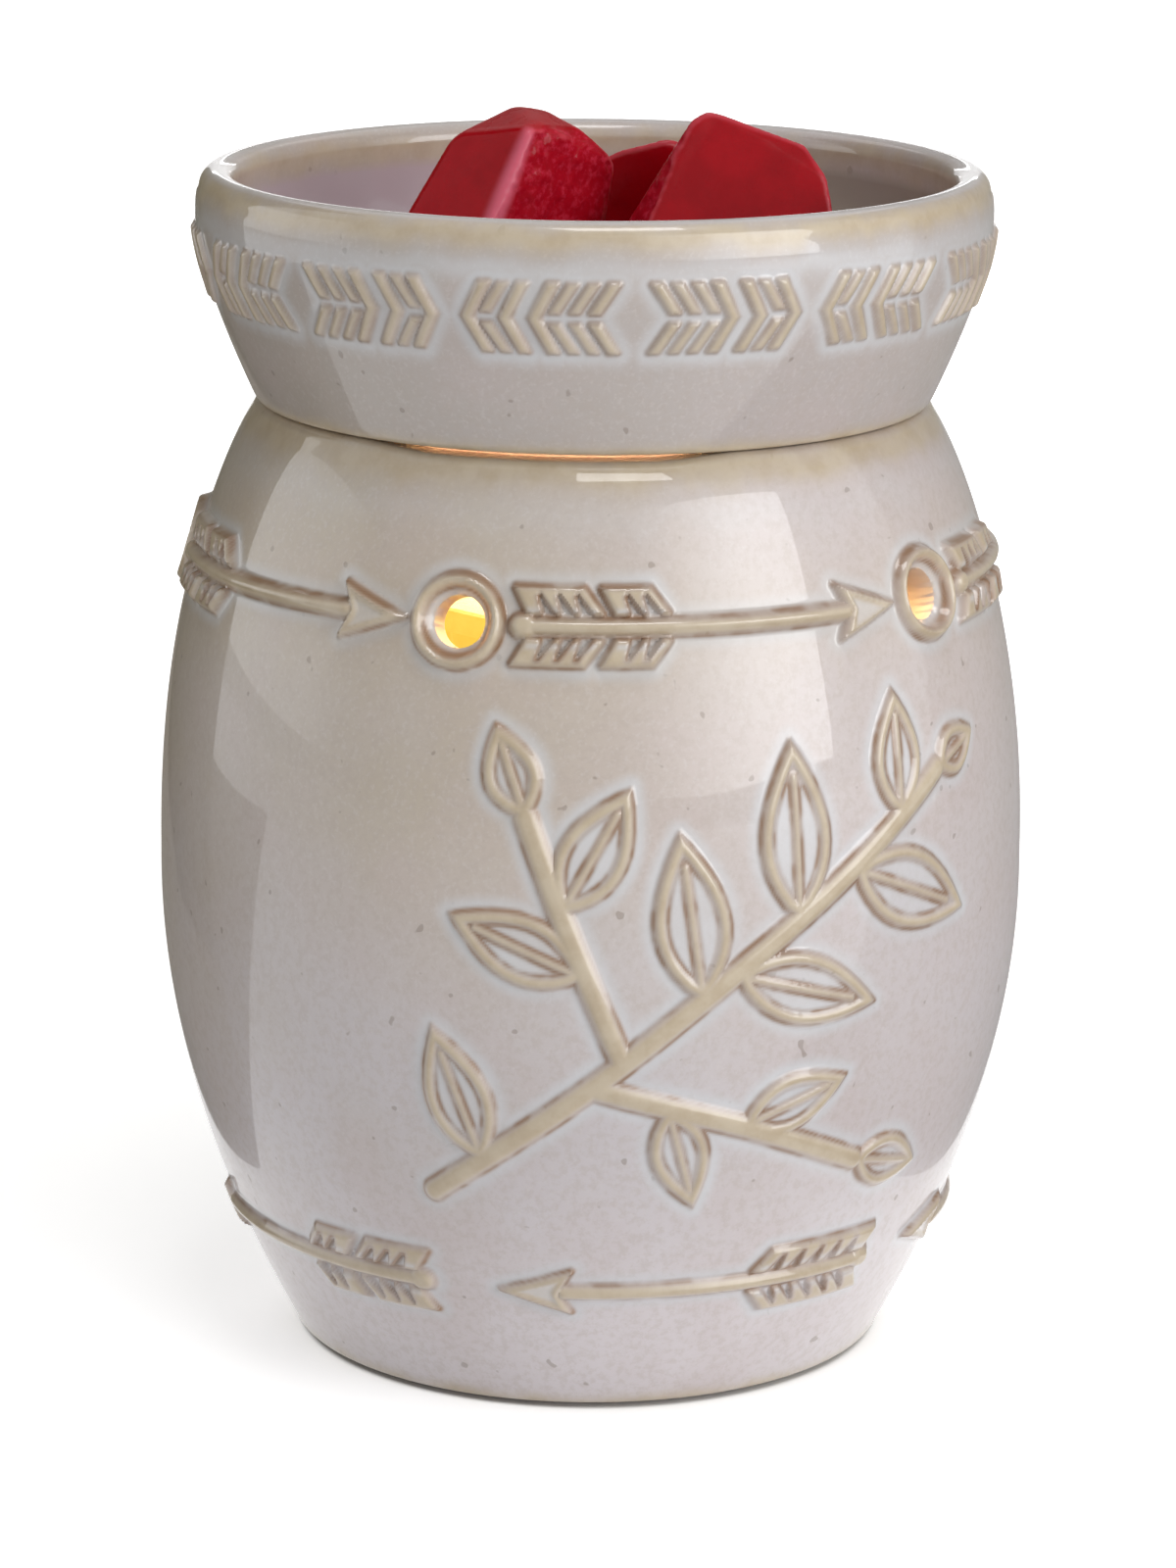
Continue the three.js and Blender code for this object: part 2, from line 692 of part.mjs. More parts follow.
// Bracket: one folded strip with a flange at each foot, the bends rounded outside
const outerX = bracketHalfSpan;
const innerX = bracketHalfSpan - bracketSheet;
const flangeEnd = bracketHalfSpan + bracketFlange;
const flangeTop = bracketFoot + bracketSheet;
const bracketSide = new THREE.Shape()
  .moveTo(innerX, bracketFoot)
  .lineTo(flangeEnd, bracketFoot)
  .lineTo(flangeEnd, flangeTop)
  .lineTo(outerX, flangeTop)
  .lineTo(outerX, bracketTop - bracketBend)
  .absarc(outerX - bracketBend, bracketTop - bracketBend, bracketBend, 0, Math.PI / 2)
  .lineTo(bracketBend - outerX, bracketTop)
  .absarc(bracketBend - outerX, bracketTop - bracketBend, bracketBend, Math.PI / 2, Math.PI)
  .lineTo(-outerX, flangeTop)
  .lineTo(-flangeEnd, flangeTop)
  .lineTo(-flangeEnd, bracketFoot)
  .lineTo(-innerX, bracketFoot)
  .lineTo(-innerX, bracketTop - bracketSheet)
  .lineTo(innerX, bracketTop - bracketSheet);
const acrossY = new THREE.Matrix4().makeRotationX(Math.PI / 2);
let bracket = placed(plate(bracketSide, -bracketWidth / 2, bracketWidth / 2, 4), acrossY);
bracket = bracket.subtract(disc(wireHoleRadius, bracketTop - 5, bracketTop + 1, 16));
const holderScrewX = holderScrewSpan / 2;
for (const x of [-1, 1]) {
  const topHole = disc(screwHoleRadius, bracketTop - 5, bracketTop + 1, 8);
  const footHole = disc(screwHoleRadius, plateBottom - 1, flangeTop + 1, 8);
  bracket = bracket.subtract(moved(topHole, x * holderScrewX, 0, 0));
  bracket = bracket.subtract(moved(footHole, x * bracketScrewX, 0, 0));
}
add(barrel, 'lamp_bracket', bracket, ...steel);
[-1, 1].forEach((x, i) => {
  const length = flangeTop + clearance - plateBottom + screwHeadHeight / 2;
  const mesh = add(barrel, `bracket_screw_${i + 1}`, screw(length), ...zinc);
  mesh.position.set(x * bracketScrewX, 0, flangeTop + clearance);
});

// Curved slot in plan: an arc of a given half width, with round ends
function arcSlot(radius, halfWidth, from, to) {
  const [a, b] = [radians(from), radians(to)];
  const shape = new THREE.Shape();
  shape.absarc(0, 0, radius + halfWidth, a, b);
  shape.absarc(radius * Math.cos(b), radius * Math.sin(b), halfWidth, b, b + Math.PI);
  shape.absarc(0, 0, radius - halfWidth, b, a, true);
  shape.absarc(radius * Math.cos(a), radius * Math.sin(a), halfWidth, a + Math.PI, a + full);
  return shape;
}

// Lamp holder: a body with a well for the pins, under an oblong cap with keyhole slots
const pinCircle = pinSpan / 2;
const neckHalf = pinNeckRadius + pinGap;
const headHalf = pinHeadRadius + pinGap;
const capBottom = holderTop - holderCapThickness;
const holderScrewSeat = capBottom - clearance;
let holder = spun([
  [holderRadius, holderBottom],
  [holderRadius, holderScrewSeat - holderEdge],
  [holderRadius - holderEdge, holderScrewSeat],
], 20);
holder = holder.subtract(disc(holderWellRadius, holderScrewSeat - holderWellDepth, holderTop, 16));
const capFlats = solid(new THREE.BoxGeometry(holderCapWidth, holderRadius * 2, holderHeight)
  .translate(0, 0, holderTop));
let holderCap = disc(holderCapRadius, capBottom, holderTop, 20).intersect(capFlats);
for (const side of [90, 270]) {
  const neckSlot = arcSlot(pinCircle, neckHalf, side, side + slotTurn);
  const entry = moved(
    disc(headHalf, capBottom - 1, holderTop + 1, 8),
    pinCircle * Math.cos(radians(side + slotTurn)),
    pinCircle * Math.sin(radians(side + slotTurn)), 0);
  holderCap = holderCap.subtract(plate(neckSlot, capBottom - 1, holderTop + 1, 2)).subtract(entry);
}
const holderScrewHole = disc(screwHoleRadius, holderBottom - 1, holderTop, 8);
for (const x of [-holderScrewX, holderScrewX]) {
  holder = holder.subtract(moved(holderScrewHole, x, 0, 0));
}
add(barrel, 'holder_cap', holderCap, ...holderCeramic);
add(barrel, 'lamp_holder', holder, ...holderCeramic);
[-1, 1].forEach((x, i) => {
  const length = holderScrewSeat - bracketTop + bracketSheet + screwTail + clearance;
  const mesh = add(barrel, `holder_screw_${i + 1}`, screw(length), ...zinc);
  mesh.position.set(x * holderScrewX, 0, holderScrewSeat + clearance);
});

// Bulb: ceramic base with two headed pins, glass reflector, capsule and front glass
const bulbBase = spun([
  [bulbBaseRadius, bulbBottom],
  [bulbBaseRadius, bulbBottom + bulbBaseHeight / 2],
  [bulbCollarRadius, bulbCollarTop - bulbCollarHeight],
  [bulbCollarRadius, bulbCollarTop],
], 24);
add(bulb, 'bulb_base', bulbBase, ...holderCeramic);
const pin = spun([
  [pinHeadRadius, capBottom - pinGap - pinHeadHeight],
  [pinHeadRadius, capBottom - pinGap],
  [pinNeckRadius, capBottom - pinGap],
  [pinNeckRadius, holderTop],
], 10);
[1, -1].forEach((side, i) => {
  const mesh = add(bulb, `bulb_pin_${i + 1}`, pin, ...zinc);
  mesh.position.y = side * pinCircle;
});

const glassSeat = reflectorTop - frontGlassThickness - clearance;
const rimBottom = reflectorTop - reflectorRim;
const cupOutside = curve(
  [bulbCollarRadius - 1, reflectorBottom],
  [bulbCollarRadius + 6, reflectorBottom + reflectorHeight * 0.25],
  [reflectorRadius - reflectorGlass, rimBottom - reflectorHeight * 0.3],
  [reflectorRadius - reflectorGlass, rimBottom]);
const cupInside = curve(
  [bulbCollarRadius - 1 - reflectorGlass, reflectorBottom + reflectorGlass],
  [bulbCollarRadius + 6 - reflectorGlass, reflectorBottom + reflectorHeight * 0.25 + reflectorGlass],
  [reflectorRadius - reflectorGlass * 2, rimBottom - reflectorHeight * 0.3],
  [reflectorRadius - reflectorGlass * 2, rimBottom]);
const reflector = turned([
  [0, reflectorBottom],
  ...pairs(cupOutside.getPoints(4)),
  [reflectorRadius, rimBottom],
  [reflectorRadius, reflectorTop],
  [reflectorRadius - reflectorGlass, reflectorTop],
  [reflectorRadius - reflectorGlass, glassSeat - clearance],
  [reflectorRadius - reflectorGlass * 2, glassSeat - clearance],
  ...pairs(cupInside.getPoints(4)).reverse(),
  [0, reflectorBottom + reflectorGlass],
], 20);
add(bulb, 'bulb_reflector', reflector, 0xe8e6df, 0.1, 0.6);
const frontGlassRadius = reflectorRadius - reflectorGlass - clearance;
const frontGlass = disc(frontGlassRadius, glassSeat, reflectorTop - clearance, 24);
add(bulb, 'bulb_front_glass', frontGlass, 0xf6f3ea, 0.05);
const capsuleBottom = reflectorBottom + reflectorGlass + clearance;
const capsule = spun([
  [capsuleRadius, capsuleBottom],
  [capsuleRadius, capsuleBottom + capsuleHeight - capsuleRadius],
  [capsuleRadius * 0.75, capsuleBottom + capsuleHeight - capsuleRadius * 0.35],
  [capsuleRadius * 0.2, capsuleBottom + capsuleHeight],
], 14);
add(bulb, 'bulb_capsule', capsule, 0xfff1cf, 0.1);

// Terminal block behind the bracket, with a screw over each end of each way
const terminals = [];
for (const x of [-1, 1]) {
  for (const y of [-1, 1]) {
    terminals.push([x * terminalSpan / 2, blockSetback + blockDepth / 2 + y * terminalRowSpan / 2]);
  }
}
const blockBottom = plateTop + clearance;
const blockTop = blockBottom + blockHeight;
const terminalWell = screwHeadHeight + clearance * 2;
let block = solid(new THREE.BoxGeometry(blockWidth, blockDepth, blockHeight)
  .translate(0, blockSetback + blockDepth / 2, blockBottom + blockHeight / 2));
for (const [x, y] of terminals) {
  const well = disc(terminalRadius + clearance, blockTop - terminalWell, blockTop + 1, 8);
  const thread = disc(terminalRadius / 2 + clearance, blockTop - blockHeight / 2, blockTop, 8);
  block = block.subtract(moved(well.add(thread), x, y, 0));
}
add(barrel, 'terminal_block', block, 0xe9e7e0, 0.5);
terminals.forEach(([x, y], i) => {
  const length = blockHeight / 2 - terminalWell - clearance;
  const body = screw(length, terminalRadius, terminalRadius / 2);
  const mesh = add(barrel, `terminal_screw_${i + 1}`, body, 0xb08d45, 0.35, 1);
  mesh.position.set(x, y, blockTop - terminalWell + clearance);
});

// Leads from the holder's underside down to the block
const leadEnd = blockBottom + blockHeight * 0.4;
for (const [name, side, color] of [['lead_live', 1, 0x6b3f22], ['lead_neutral', -1, 0x2a5a9c]]) {
  const path = new THREE.CubicBezierCurve3(
    vec(side * leadSpan / 2, 0, holderBottom - clearance),
    vec(side * leadSpan / 2, 0, (holderBottom + leadEnd) / 2),
    vec(side * terminalSpan / 2, 0, leadEnd),
    vec(side * terminalSpan / 2, blockSetback - clearance, leadEnd));
  const section = new THREE.Shape().absarc(0, 0, leadRadius, 0, full);
  const options = { steps: 9, extrudePath: path, curveSegments: 4 };
  add(barrel, name, solid(new THREE.ExtrudeGeometry(section, options)), color, 0.5);
}

export default lamp;
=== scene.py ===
"""Electric fragrance lamp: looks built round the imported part.

Sizes are in millimetres, except in materials, floor, lights and boards, which are in metres.
A turn is an angle round the lamp's axis in degrees, 0 at the front and rising to the right.
"""

import json
import math

import bmesh
import bpy
import numpy as np
from mathutils import Matrix, Vector


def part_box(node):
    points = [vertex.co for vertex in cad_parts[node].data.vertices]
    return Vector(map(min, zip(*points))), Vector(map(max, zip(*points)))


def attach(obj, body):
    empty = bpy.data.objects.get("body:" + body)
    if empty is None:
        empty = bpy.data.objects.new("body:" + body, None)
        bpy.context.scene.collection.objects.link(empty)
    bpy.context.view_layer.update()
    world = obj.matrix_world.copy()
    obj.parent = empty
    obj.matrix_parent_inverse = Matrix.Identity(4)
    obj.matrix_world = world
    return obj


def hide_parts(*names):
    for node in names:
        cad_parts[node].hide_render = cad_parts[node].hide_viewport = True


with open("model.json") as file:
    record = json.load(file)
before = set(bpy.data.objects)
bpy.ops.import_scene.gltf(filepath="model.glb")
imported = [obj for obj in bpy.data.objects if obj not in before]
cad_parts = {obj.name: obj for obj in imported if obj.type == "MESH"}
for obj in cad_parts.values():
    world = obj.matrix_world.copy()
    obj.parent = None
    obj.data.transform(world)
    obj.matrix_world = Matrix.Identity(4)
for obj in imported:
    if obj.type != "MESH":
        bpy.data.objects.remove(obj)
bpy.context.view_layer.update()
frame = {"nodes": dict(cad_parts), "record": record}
MM = 0.001


def new_object(name, data):
    obj = bpy.data.objects.new(name, data)
    bpy.context.scene.collection.objects.link(obj)
    return obj


# Camera, fitted to the photograph's ellipses

CAMERA_TURN = -17.5
CAMERA_AWAY, CAMERA_UP, CAMERA_SIDE = 742.8, 265.6, -0.34
CAMERA_PITCH, CAMERA_ROLL = 14.19, 0.418
FOCAL_PIXELS, PHOTO_HEIGHT_PIXELS, SENSOR_HEIGHT = 5551.7, 1600, 36


def make_camera():
    pitch, roll = math.radians(CAMERA_PITCH), math.radians(CAMERA_ROLL)
    side, up = Vector((1, 0, 0)), Vector((0, math.sin(pitch), math.cos(pitch)))
    ahead = Vector((0, math.cos(pitch), -math.sin(pitch)))
    right = math.cos(roll) * side + math.sin(roll) * up
    above = -math.sin(roll) * side + math.cos(roll) * up
    basis = Matrix((right, above, -ahead)).transposed().to_4x4()
    basis.translation = Vector((CAMERA_SIDE, -CAMERA_AWAY, CAMERA_UP)) * MM
    data = bpy.data.cameras.new("camera")
    data.sensor_fit = "VERTICAL"
    data.sensor_height = SENSOR_HEIGHT
    data.lens = SENSOR_HEIGHT * FOCAL_PIXELS / PHOTO_HEIGHT_PIXELS
    data.clip_start, data.clip_end = 0.01, 20
    camera = new_object("camera", data)
    camera.matrix_world = Matrix.Rotation(math.radians(CAMERA_TURN), 4, "Z") @ basis
    bpy.context.scene.camera = camera


make_camera()

# Wall profiles


def bezier(corners, count):
    """Points along a cubic curve with the given four corners."""
    t = np.linspace(0, 1, count)[:, None]
    a, b, c, d = (np.array(p, float) for p in corners)
    return (1 - t) ** 3 * a + 3 * (1 - t) ** 2 * t * b + 3 * (1 - t) * t * t * c + t ** 3 * d


BELLY_R, BELLY_Z = 60.55, 71
DISH_FLOOR_Z, DISH_R = 133.5, 54.7
barrel_curve = np.vstack([
    bezier([(42, 1.4), (61.9, 38.0), (BELLY_R, 64.7), (BELLY_R, BELLY_Z)], 200),
    bezier([(BELLY_R, BELLY_Z), (BELLY_R, 108.7), (48.1, 131.5), (47, 132.2)], 200)[1:]])
dish_curve = bezier([(46.8, 134.1), (55.5, 153.1), (DISH_R, 158.2), (DISH_R, 160)], 200)


class Wall:
    """A wall of revolution: its radius and its outward lean by height."""

    def __init__(self, curve):
        self.z, self.r = curve[:, 1], curve[:, 0]
        self.slope = np.gradient(self.r, self.z)

    def radius(self, z):
        return np.interp(z, self.z, self.r)

    def lean(self, z):
        return np.arctan(np.interp(z, self.z, self.slope))


barrel_wall, dish_wall = Wall(barrel_curve), Wall(dish_curve)

# Distances to flat outlines

FAR_AWAY = 1e3


def to_segment(x, y, a, b, radius=0.0):
    """Distance to a bar with round ends of the given radius, negative inside."""
    ax, ay = a
    bx, by = b
    dx, dy = bx - ax, by - ay
    t = np.clip(((x - ax) * dx + (y - ay) * dy) / (dx * dx + dy * dy), 0, 1)
    return np.hypot(x - ax - t * dx, y - ay - t * dy) - radius


def to_polygon(x, y, corners, rounding=0.0):
    """Signed distance to a polygon, negative inside."""
    best = np.full(x.shape, FAR_AWAY)
    inside = np.zeros(x.shape, bool)
    for (ax, ay), (bx, by) in zip(corners, corners[1:] + corners[:1]):
        best = np.minimum(best, to_segment(x, y, (ax, ay), (bx, by)))
        crosses = (ay > y) != (by > y)
        with np.errstate(divide="ignore", invalid="ignore"):
            at = (bx - ax) * (y - ay) / (by - ay) + ax
        inside ^= crosses & (x < at)
    return np.where(inside, -best, best) - rounding


def ramp(distance, outer, inner):
    """0 outside an outline, 1 well inside it, with a soft foot and a rounded shoulder."""
    t = np.clip((outer - distance) / (outer + inner), 0, 1)
    return np.sin(t * math.pi / 2) ** 1.7


def bump(value, low, high):
    """0 below low and 1 above high, with a smooth rise between."""
    t = np.clip((value - low) / (high - low), 0, 1)
    return t * t * (3 - 2 * t)


class Relief:
    """Height over a wall, distance to the raised work, and where the glaze pools in its hollows."""

    def __init__(self, shape):
        self.height = np.zeros(shape)
        self.near = np.full(shape, FAR_AWAY)
        self.pool = np.zeros(shape)

    def put(self, where, height, distance, pool=None):
        self.height[where] = np.maximum(self.height[where], height)
        self.near[where] = np.minimum(self.near[where], distance)
        if pool is not None:
            self.pool[where] = np.maximum(self.pool[where], pool)


# Arrows, rings and chevrons

REPEATS = 5
REPEAT_TURN = 360 / REPEATS
LIGHT_HOLES = [REPEAT_TURN * (i + 0.5) for i in range(REPEATS)]
LIGHT_HOLE_Z, LIGHT_HOLE_R = 112.7, 3.5
RING_R, RING_HALF_WIDTH, RING_HEIGHT = 5.45, 0.95, 1.55
RING_MOUTH_R, RING_MOUTH_ROUND, RING_MOUTH_DEPTH = 4.5, 0.9, 0.8
ARROW_UP_Z, ARROW_LOW_Z, ARROW_HALF = 112.6, 20.3, 27.3
ARROW_LOW_SHARE = 0.78
SHAFT_R, NOCK_R, SHAFT_HEIGHT = 1.2, 1.75, 1.6
VANE_FOOT, VANE_TOP, VANE_SLANT, VANE_HEIGHT = 1.75, 5.0, 2.4, 1.4
HEAD_BACK, HEAD_NOTCH, HEAD_TIP, HEAD_HALF_WIDTH, HEAD_HEIGHT = 17.6, 19.3, 27.2, 3.6, 1.5
OUTLET_TURN, OUTLET_Z, OUTLET_R = 180, 17, 6.2


def arrow(x, y, split_vane=True):
    """Height, distance and pooled glaze of a raised arrow that points along +x."""
    y = np.abs(y)
    tail = -ARROW_HALF
    shaft = to_segment(x, y, (tail + 1.6, 0), (HEAD_BACK + 1, 0), SHAFT_R)
    nock = to_segment(x, y, (tail + 1.5, 0), (tail + 1.9, 0), NOCK_R)
    bar = np.minimum(shaft, nock)
    height = SHAFT_HEIGHT * ramp(bar, 0.6, 1.15)
    near = bar
    pool = np.zeros(x.shape)
    # Each vane of the feather as (start, length, how many barbs)
    vanes = [(tail, 9.8, 4), (tail + 11.5, 7.0, 3)] if split_vane else [(tail, 18.0, 6)]
    for start, length, barbs in vanes:
        end, round_by = start + length, 0.35
        vane = to_polygon(x, y, [
            (start + VANE_SLANT * 0.9, VANE_FOOT), (start + round_by, VANE_TOP),
            (end - round_by, VANE_TOP), (end + VANE_SLANT * 0.85, VANE_FOOT)], round_by)
        level = VANE_HEIGHT * ramp(vane, 0.6, 0.8)
        groove = np.full(x.shape, FAR_AWAY)
        for k in range(1, barbs):
            wide = start + 0.2 + length * k / barbs + VANE_SLANT
            narrow = wide - VANE_SLANT * 0.58
            groove = np.minimum(groove, to_polygon(x, y, [
                (wide - 0.85, 1.5), (wide + 0.75, 1.5), (narrow + 0.1, 4.1), (narrow - 0.12, 4.1)]))
        cut = 1 - bump(groove, -0.35, 0.3)
        level = level * (1 - 0.8 * cut)
        height = np.maximum(height, level)
        near = np.minimum(near, np.maximum(vane, -groove + 0.15))
        pool = np.maximum(pool, cut * bump(-vane, -0.2, 0.3))
        pool = np.maximum(pool, (1 - bump(y, 2.1, 3.3)) * bump(-vane, 0.3, 0.9))
    head = to_polygon(x, y, [(HEAD_BACK, HEAD_HALF_WIDTH), (HEAD_TIP, 0),
                             (HEAD_BACK, -HEAD_HALF_WIDTH), (HEAD_NOTCH, 0)], 0.2)
    hollow = bump(-head, 0.7, 1.5) * bump(x, 17.5, 20.5)
    height = np.maximum(height, HEAD_HEIGHT * ramp(head, 0.6, 0.8) * (1 - 0.3 * hollow))
    near = np.minimum(near, head)
    pool = np.maximum(pool, hollow * 0.8)
    return height, near, pool


def ring(x, y):
    """Height and distance of the raised ring round a light hole, rounded into its mouth."""
    away = np.hypot(x, y)
    band = np.abs(away - RING_R) - RING_HALF_WIDTH
    height = RING_HEIGHT * ramp(band, 0.5, 0.95)
    mouth = np.clip((RING_MOUTH_R - away) / RING_MOUTH_ROUND, 0, 1)
    return height - RING_MOUTH_DEPTH * (1 - np.sqrt(1 - mouth ** 2)), band


CHEVRON_PAIRS, CHEVRON_TURN, CHEVRON_Z = 7, 13.8, DISH_FLOOR_Z + 19.2
RIB_WIDTH, RIB_SWEEP, BAND_HALF = 1.75, 2.7, 5.0
RIB_END_HEIGHT, RIB_INNER_HEIGHT = 0.72, 0.56
LONG_GROUP, SHORT_GROUP, GROUP_GAP, PAIR_GAP = 9.6, 6.7, 2.1, 1.25


def chevron_band(x, y):
    """Height and distance of mirrored ribs that point to x = 0 from both sides.

    A rib is bent where it is joined at the middle line, and in two halves where it isn't.
    """
    x, y = -np.abs(x), np.abs(y)
    round_by = 0.3
    height = np.zeros(x.shape)
    near = np.full(x.shape, FAR_AWAY)
    short_start = -PAIR_GAP - RIB_SWEEP - SHORT_GROUP
    long_start = short_start - GROUP_GAP - LONG_GROUP
    for start, length, ribs, joined in [
            (long_start, LONG_GROUP, 4, (3,)), (short_start, SHORT_GROUP, 3, (0, 2))]:
        pitch = (length - RIB_WIDTH) / (ribs - 1)
        for k in range(ribs):
            left = start + pitch * k
            bent = k in joined
            lean = RIB_SWEEP * (1 if bent else 0.9)
            foot = -0.6 if bent else 0.8
            rib = to_polygon(x, y, [
                (left + round_by, BAND_HALF - round_by), (left + lean + round_by, foot),
                (left + lean + RIB_WIDTH - round_by, foot),
                (left + RIB_WIDTH - round_by, BAND_HALF - round_by)], round_by)
            at_end = k in (0, ribs - 1)
            tall = RIB_END_HEIGHT if at_end else RIB_INNER_HEIGHT
            height = np.maximum(height, tall * ramp(rib, 0.35, 0.6))
            near = np.minimum(near, rib if at_end else rib + 0.12)
    return height, near


# Sprig on the front

SPRIG_Z, SPRIG_LOW, SPRIG_HIGH, SPRIG_HALF_TURN = 66.0, 28, 104, 52
STEM_HALF, STEM_HEIGHT = 1.6, 0.9
LEAF_PLATE, LEAF_RIM = 0.42, 0.8
LEAF_RIM_IN, LEAF_RIM_HALF, VEIN_HALF = 0.95, 0.9, 0.65

# Stems through [right, up] places, and leaves as (stem, share along it, angle, length, width)
STEMS = [
    [(-41, -31), (-22, -17.5), (0, 0), (20, 14), (35, 24)],
    [(-14, -11), (-21, 6), (-27, 22)],
    [(-18, -14.5), (3, -21), (23, -29)],
]
LEAVES = [
    (0, 0.12, 74, 20, 9.5), (0, 0.46, 60, 23, 10.5), (0, 0.51, -53, 23, 10),
    (0, 0.62, 57, 24, 10.5), (0, 0.73, -57, 24, 11), (0, 0.85, 56, 17, 9), (0, 1, -12, 10.5, 7),
    (1, 0.36, 44, 20, 9.5), (1, 0.6, -50, 19, 9.5), (1, 1, 0, 13, 8),
    (2, 0.27, -56, 16, 8.5), (2, 0.5, 38, 17, 8.5), (2, 1, 10, 15, 8),
]


def along_stem(stem, share):
    """Point on the smooth curve through a stem's places."""
    places = np.array(STEMS[stem], float)
    last = len(places) - 1
    i = min(int(share * last), last - 1)
    t = share * last - i
    before, start = places[max(i - 1, 0)], places[i]
    end, after = places[i + 1], places[min(i + 2, last)]
    leave, arrive = (end - before) / 2, (after - start) / 2
    return (start + leave * t + (3 * (end - start) - 2 * leave - arrive) * t ** 2
            + (2 * (start - end) + leave + arrive) * t ** 3)


def leaf_outline(stem, share, angle, length, width, steps=12):
    """Outline of a leaf that grows from a stem, with the two ends of its vein."""
    step = along_stem(stem, min(share + 0.01, 1)) - along_stem(stem, max(share - 0.01, 0))
    turn = math.atan2(step[1], step[0]) + math.radians(angle)
    ahead = np.array([math.cos(turn), math.sin(turn)])
    aside = np.array([-math.sin(turn), math.cos(turn)])
    base = along_stem(stem, share)
    edge = []
    for k in range(-steps, steps):
        run = 1 - abs(k) / steps
        out = math.copysign(width / 2 * math.sin(math.pi * run ** 0.85) ** 0.9 if run < 1 else 0, k)
        edge.append(tuple(base + ahead * length * run + aside * out))
    return edge, tuple(base), tuple(base + ahead * length * 0.8)


def sprig(x, y):
    """Height, distance and pooled glaze of the raised sprig."""
    stems = np.full(x.shape, FAR_AWAY)
    for k in range(len(STEMS)):
        places = [tuple(along_stem(k, share)) for share in np.linspace(0, 1, 25)]
        for a, b in zip(places, places[1:]):
            stems = np.minimum(stems, to_segment(x, y, a, b, STEM_HALF))
    height = STEM_HEIGHT * ramp(stems, 0.7, 1.2)
    raised, pool = stems, np.zeros(x.shape)
    for leaf in LEAVES:
        edge, base, tip = leaf_outline(*leaf)
        inside = to_polygon(x, y, edge)
        rim = np.abs(inside + LEAF_RIM_IN) - LEAF_RIM_HALF
        vein = np.maximum(to_segment(x, y, base, tip, VEIN_HALF), inside + 0.5)
        height = np.maximum(height, LEAF_PLATE * ramp(inside, 0.6, 0.6))
        height = np.maximum(height, LEAF_RIM * ramp(rim, 0.6, 0.85))
        height = np.maximum(height, LEAF_RIM * 0.9 * ramp(vein, 0.6, 0.6))
        raised = np.minimum(raised, np.minimum(rim, vein))
        pool = np.maximum(pool, bump(-inside, 1.2, 2.0) * bump(vein, 0.1, 0.5) * 0.9)
    return height, raised, pool * bump(stems, 0, 0.6)


# Finely stepped walls

# Where light gets out under the dish, and how far the rim rises away from there
GLOW_TURN, RIM_RISE = -26.0, 0.75


def turn_from(phi, centre):
    """Turn away from a centre, between -180 and 180."""
    return (phi - centre + 180) % 360 - 180


def barrel_relief(phi, z):
    """Relief over the barrel's outer wall at turns phi and heights z (flat arrays)."""
    relief = Relief(phi.shape)
    # The lower arrows point the other way, lie flatter and stop short of the cord's outlet
    for level, way in [(ARROW_UP_Z, 1), (ARROW_LOW_Z, -1)]:
        radius, lean = barrel_wall.radius(level), barrel_wall.lean(level)
        y = (z - level) / math.cos(lean)
        for i in range(REPEATS):
            x = np.radians(turn_from(phi, REPEAT_TURN * i)) * radius * way
            near = (np.abs(y) < 9) & (np.abs(x) < ARROW_HALF + 4)
            single = way < 0 and i == 0
            height, distance, pool = arrow(x[near], y[near], not single)
            if way < 0:
                height = height * ARROW_LOW_SHARE
                from_outlet = np.hypot(np.radians(turn_from(phi[near], OUTLET_TURN)) * radius,
                                       (z[near] - OUTLET_Z) / 0.85)
                height = height * bump(from_outlet, 8.8, 9.6)
                distance = np.where(from_outlet < 9.6, 5, distance)
            relief.put(near, height, distance, pool)
    radius, lean = barrel_wall.radius(LIGHT_HOLE_Z), barrel_wall.lean(LIGHT_HOLE_Z)
    for centre in LIGHT_HOLES:
        x = np.radians(turn_from(phi, centre)) * radius
        y = (z - LIGHT_HOLE_Z) / math.cos(lean)
        near = np.hypot(x, y) < 10
        height, distance = ring(x[near], y[near])
        relief.height[near] = np.where(
            height < 0, height, np.maximum(relief.height[near], height))
        relief.near[near] = np.minimum(relief.near[near], distance)
    near = (np.abs(phi) < SPRIG_HALF_TURN) & (z > SPRIG_LOW) & (z < SPRIG_HIGH)
    x = np.radians(phi[near]) * barrel_wall.radius(SPRIG_Z)
    relief.put(near, *sprig(x, z[near] - SPRIG_Z))
    return relief


def dish_relief(phi, z):
    """Relief over the dish's outer wall at turns phi and heights z (flat arrays)."""
    relief = Relief(phi.shape)
    near = np.abs(z - CHEVRON_Z) < 8
    x = np.radians(turn_from(phi[near], CHEVRON_TURN))
    period = 2 * math.pi / CHEVRON_PAIRS
    x = ((x + period / 2) % period - period / 2) * dish_wall.radius(CHEVRON_Z)
    y = (z[near] - CHEVRON_Z) / math.cos(dish_wall.lean(CHEVRON_Z))
    height, distance = chevron_band(x, y)
    relief.put(near, height, distance)
    return relief


def sweep_mesh(name, rows, columns):
    """Closed body of revolution through rows of (r, z), where r and z may be one per column."""
    count = len(columns)
    angle = np.radians(columns)
    points = []
    for r, z in rows:
        points.append(np.column_stack([
            r * np.sin(angle), -r * np.cos(angle), np.broadcast_to(z, angle.shape)]))
    vertices = np.vstack(points) * MM
    faces = []
    total = len(rows)
    index = np.arange(count)
    following = (index + 1) % count
    for k in range(total):
        a, b = k * count, ((k + 1) % total) * count
        faces.append(np.column_stack([a + index, a + following, b + following, b + index]))
    faces = np.vstack(faces)
    return new_mesh(name, vertices, faces)


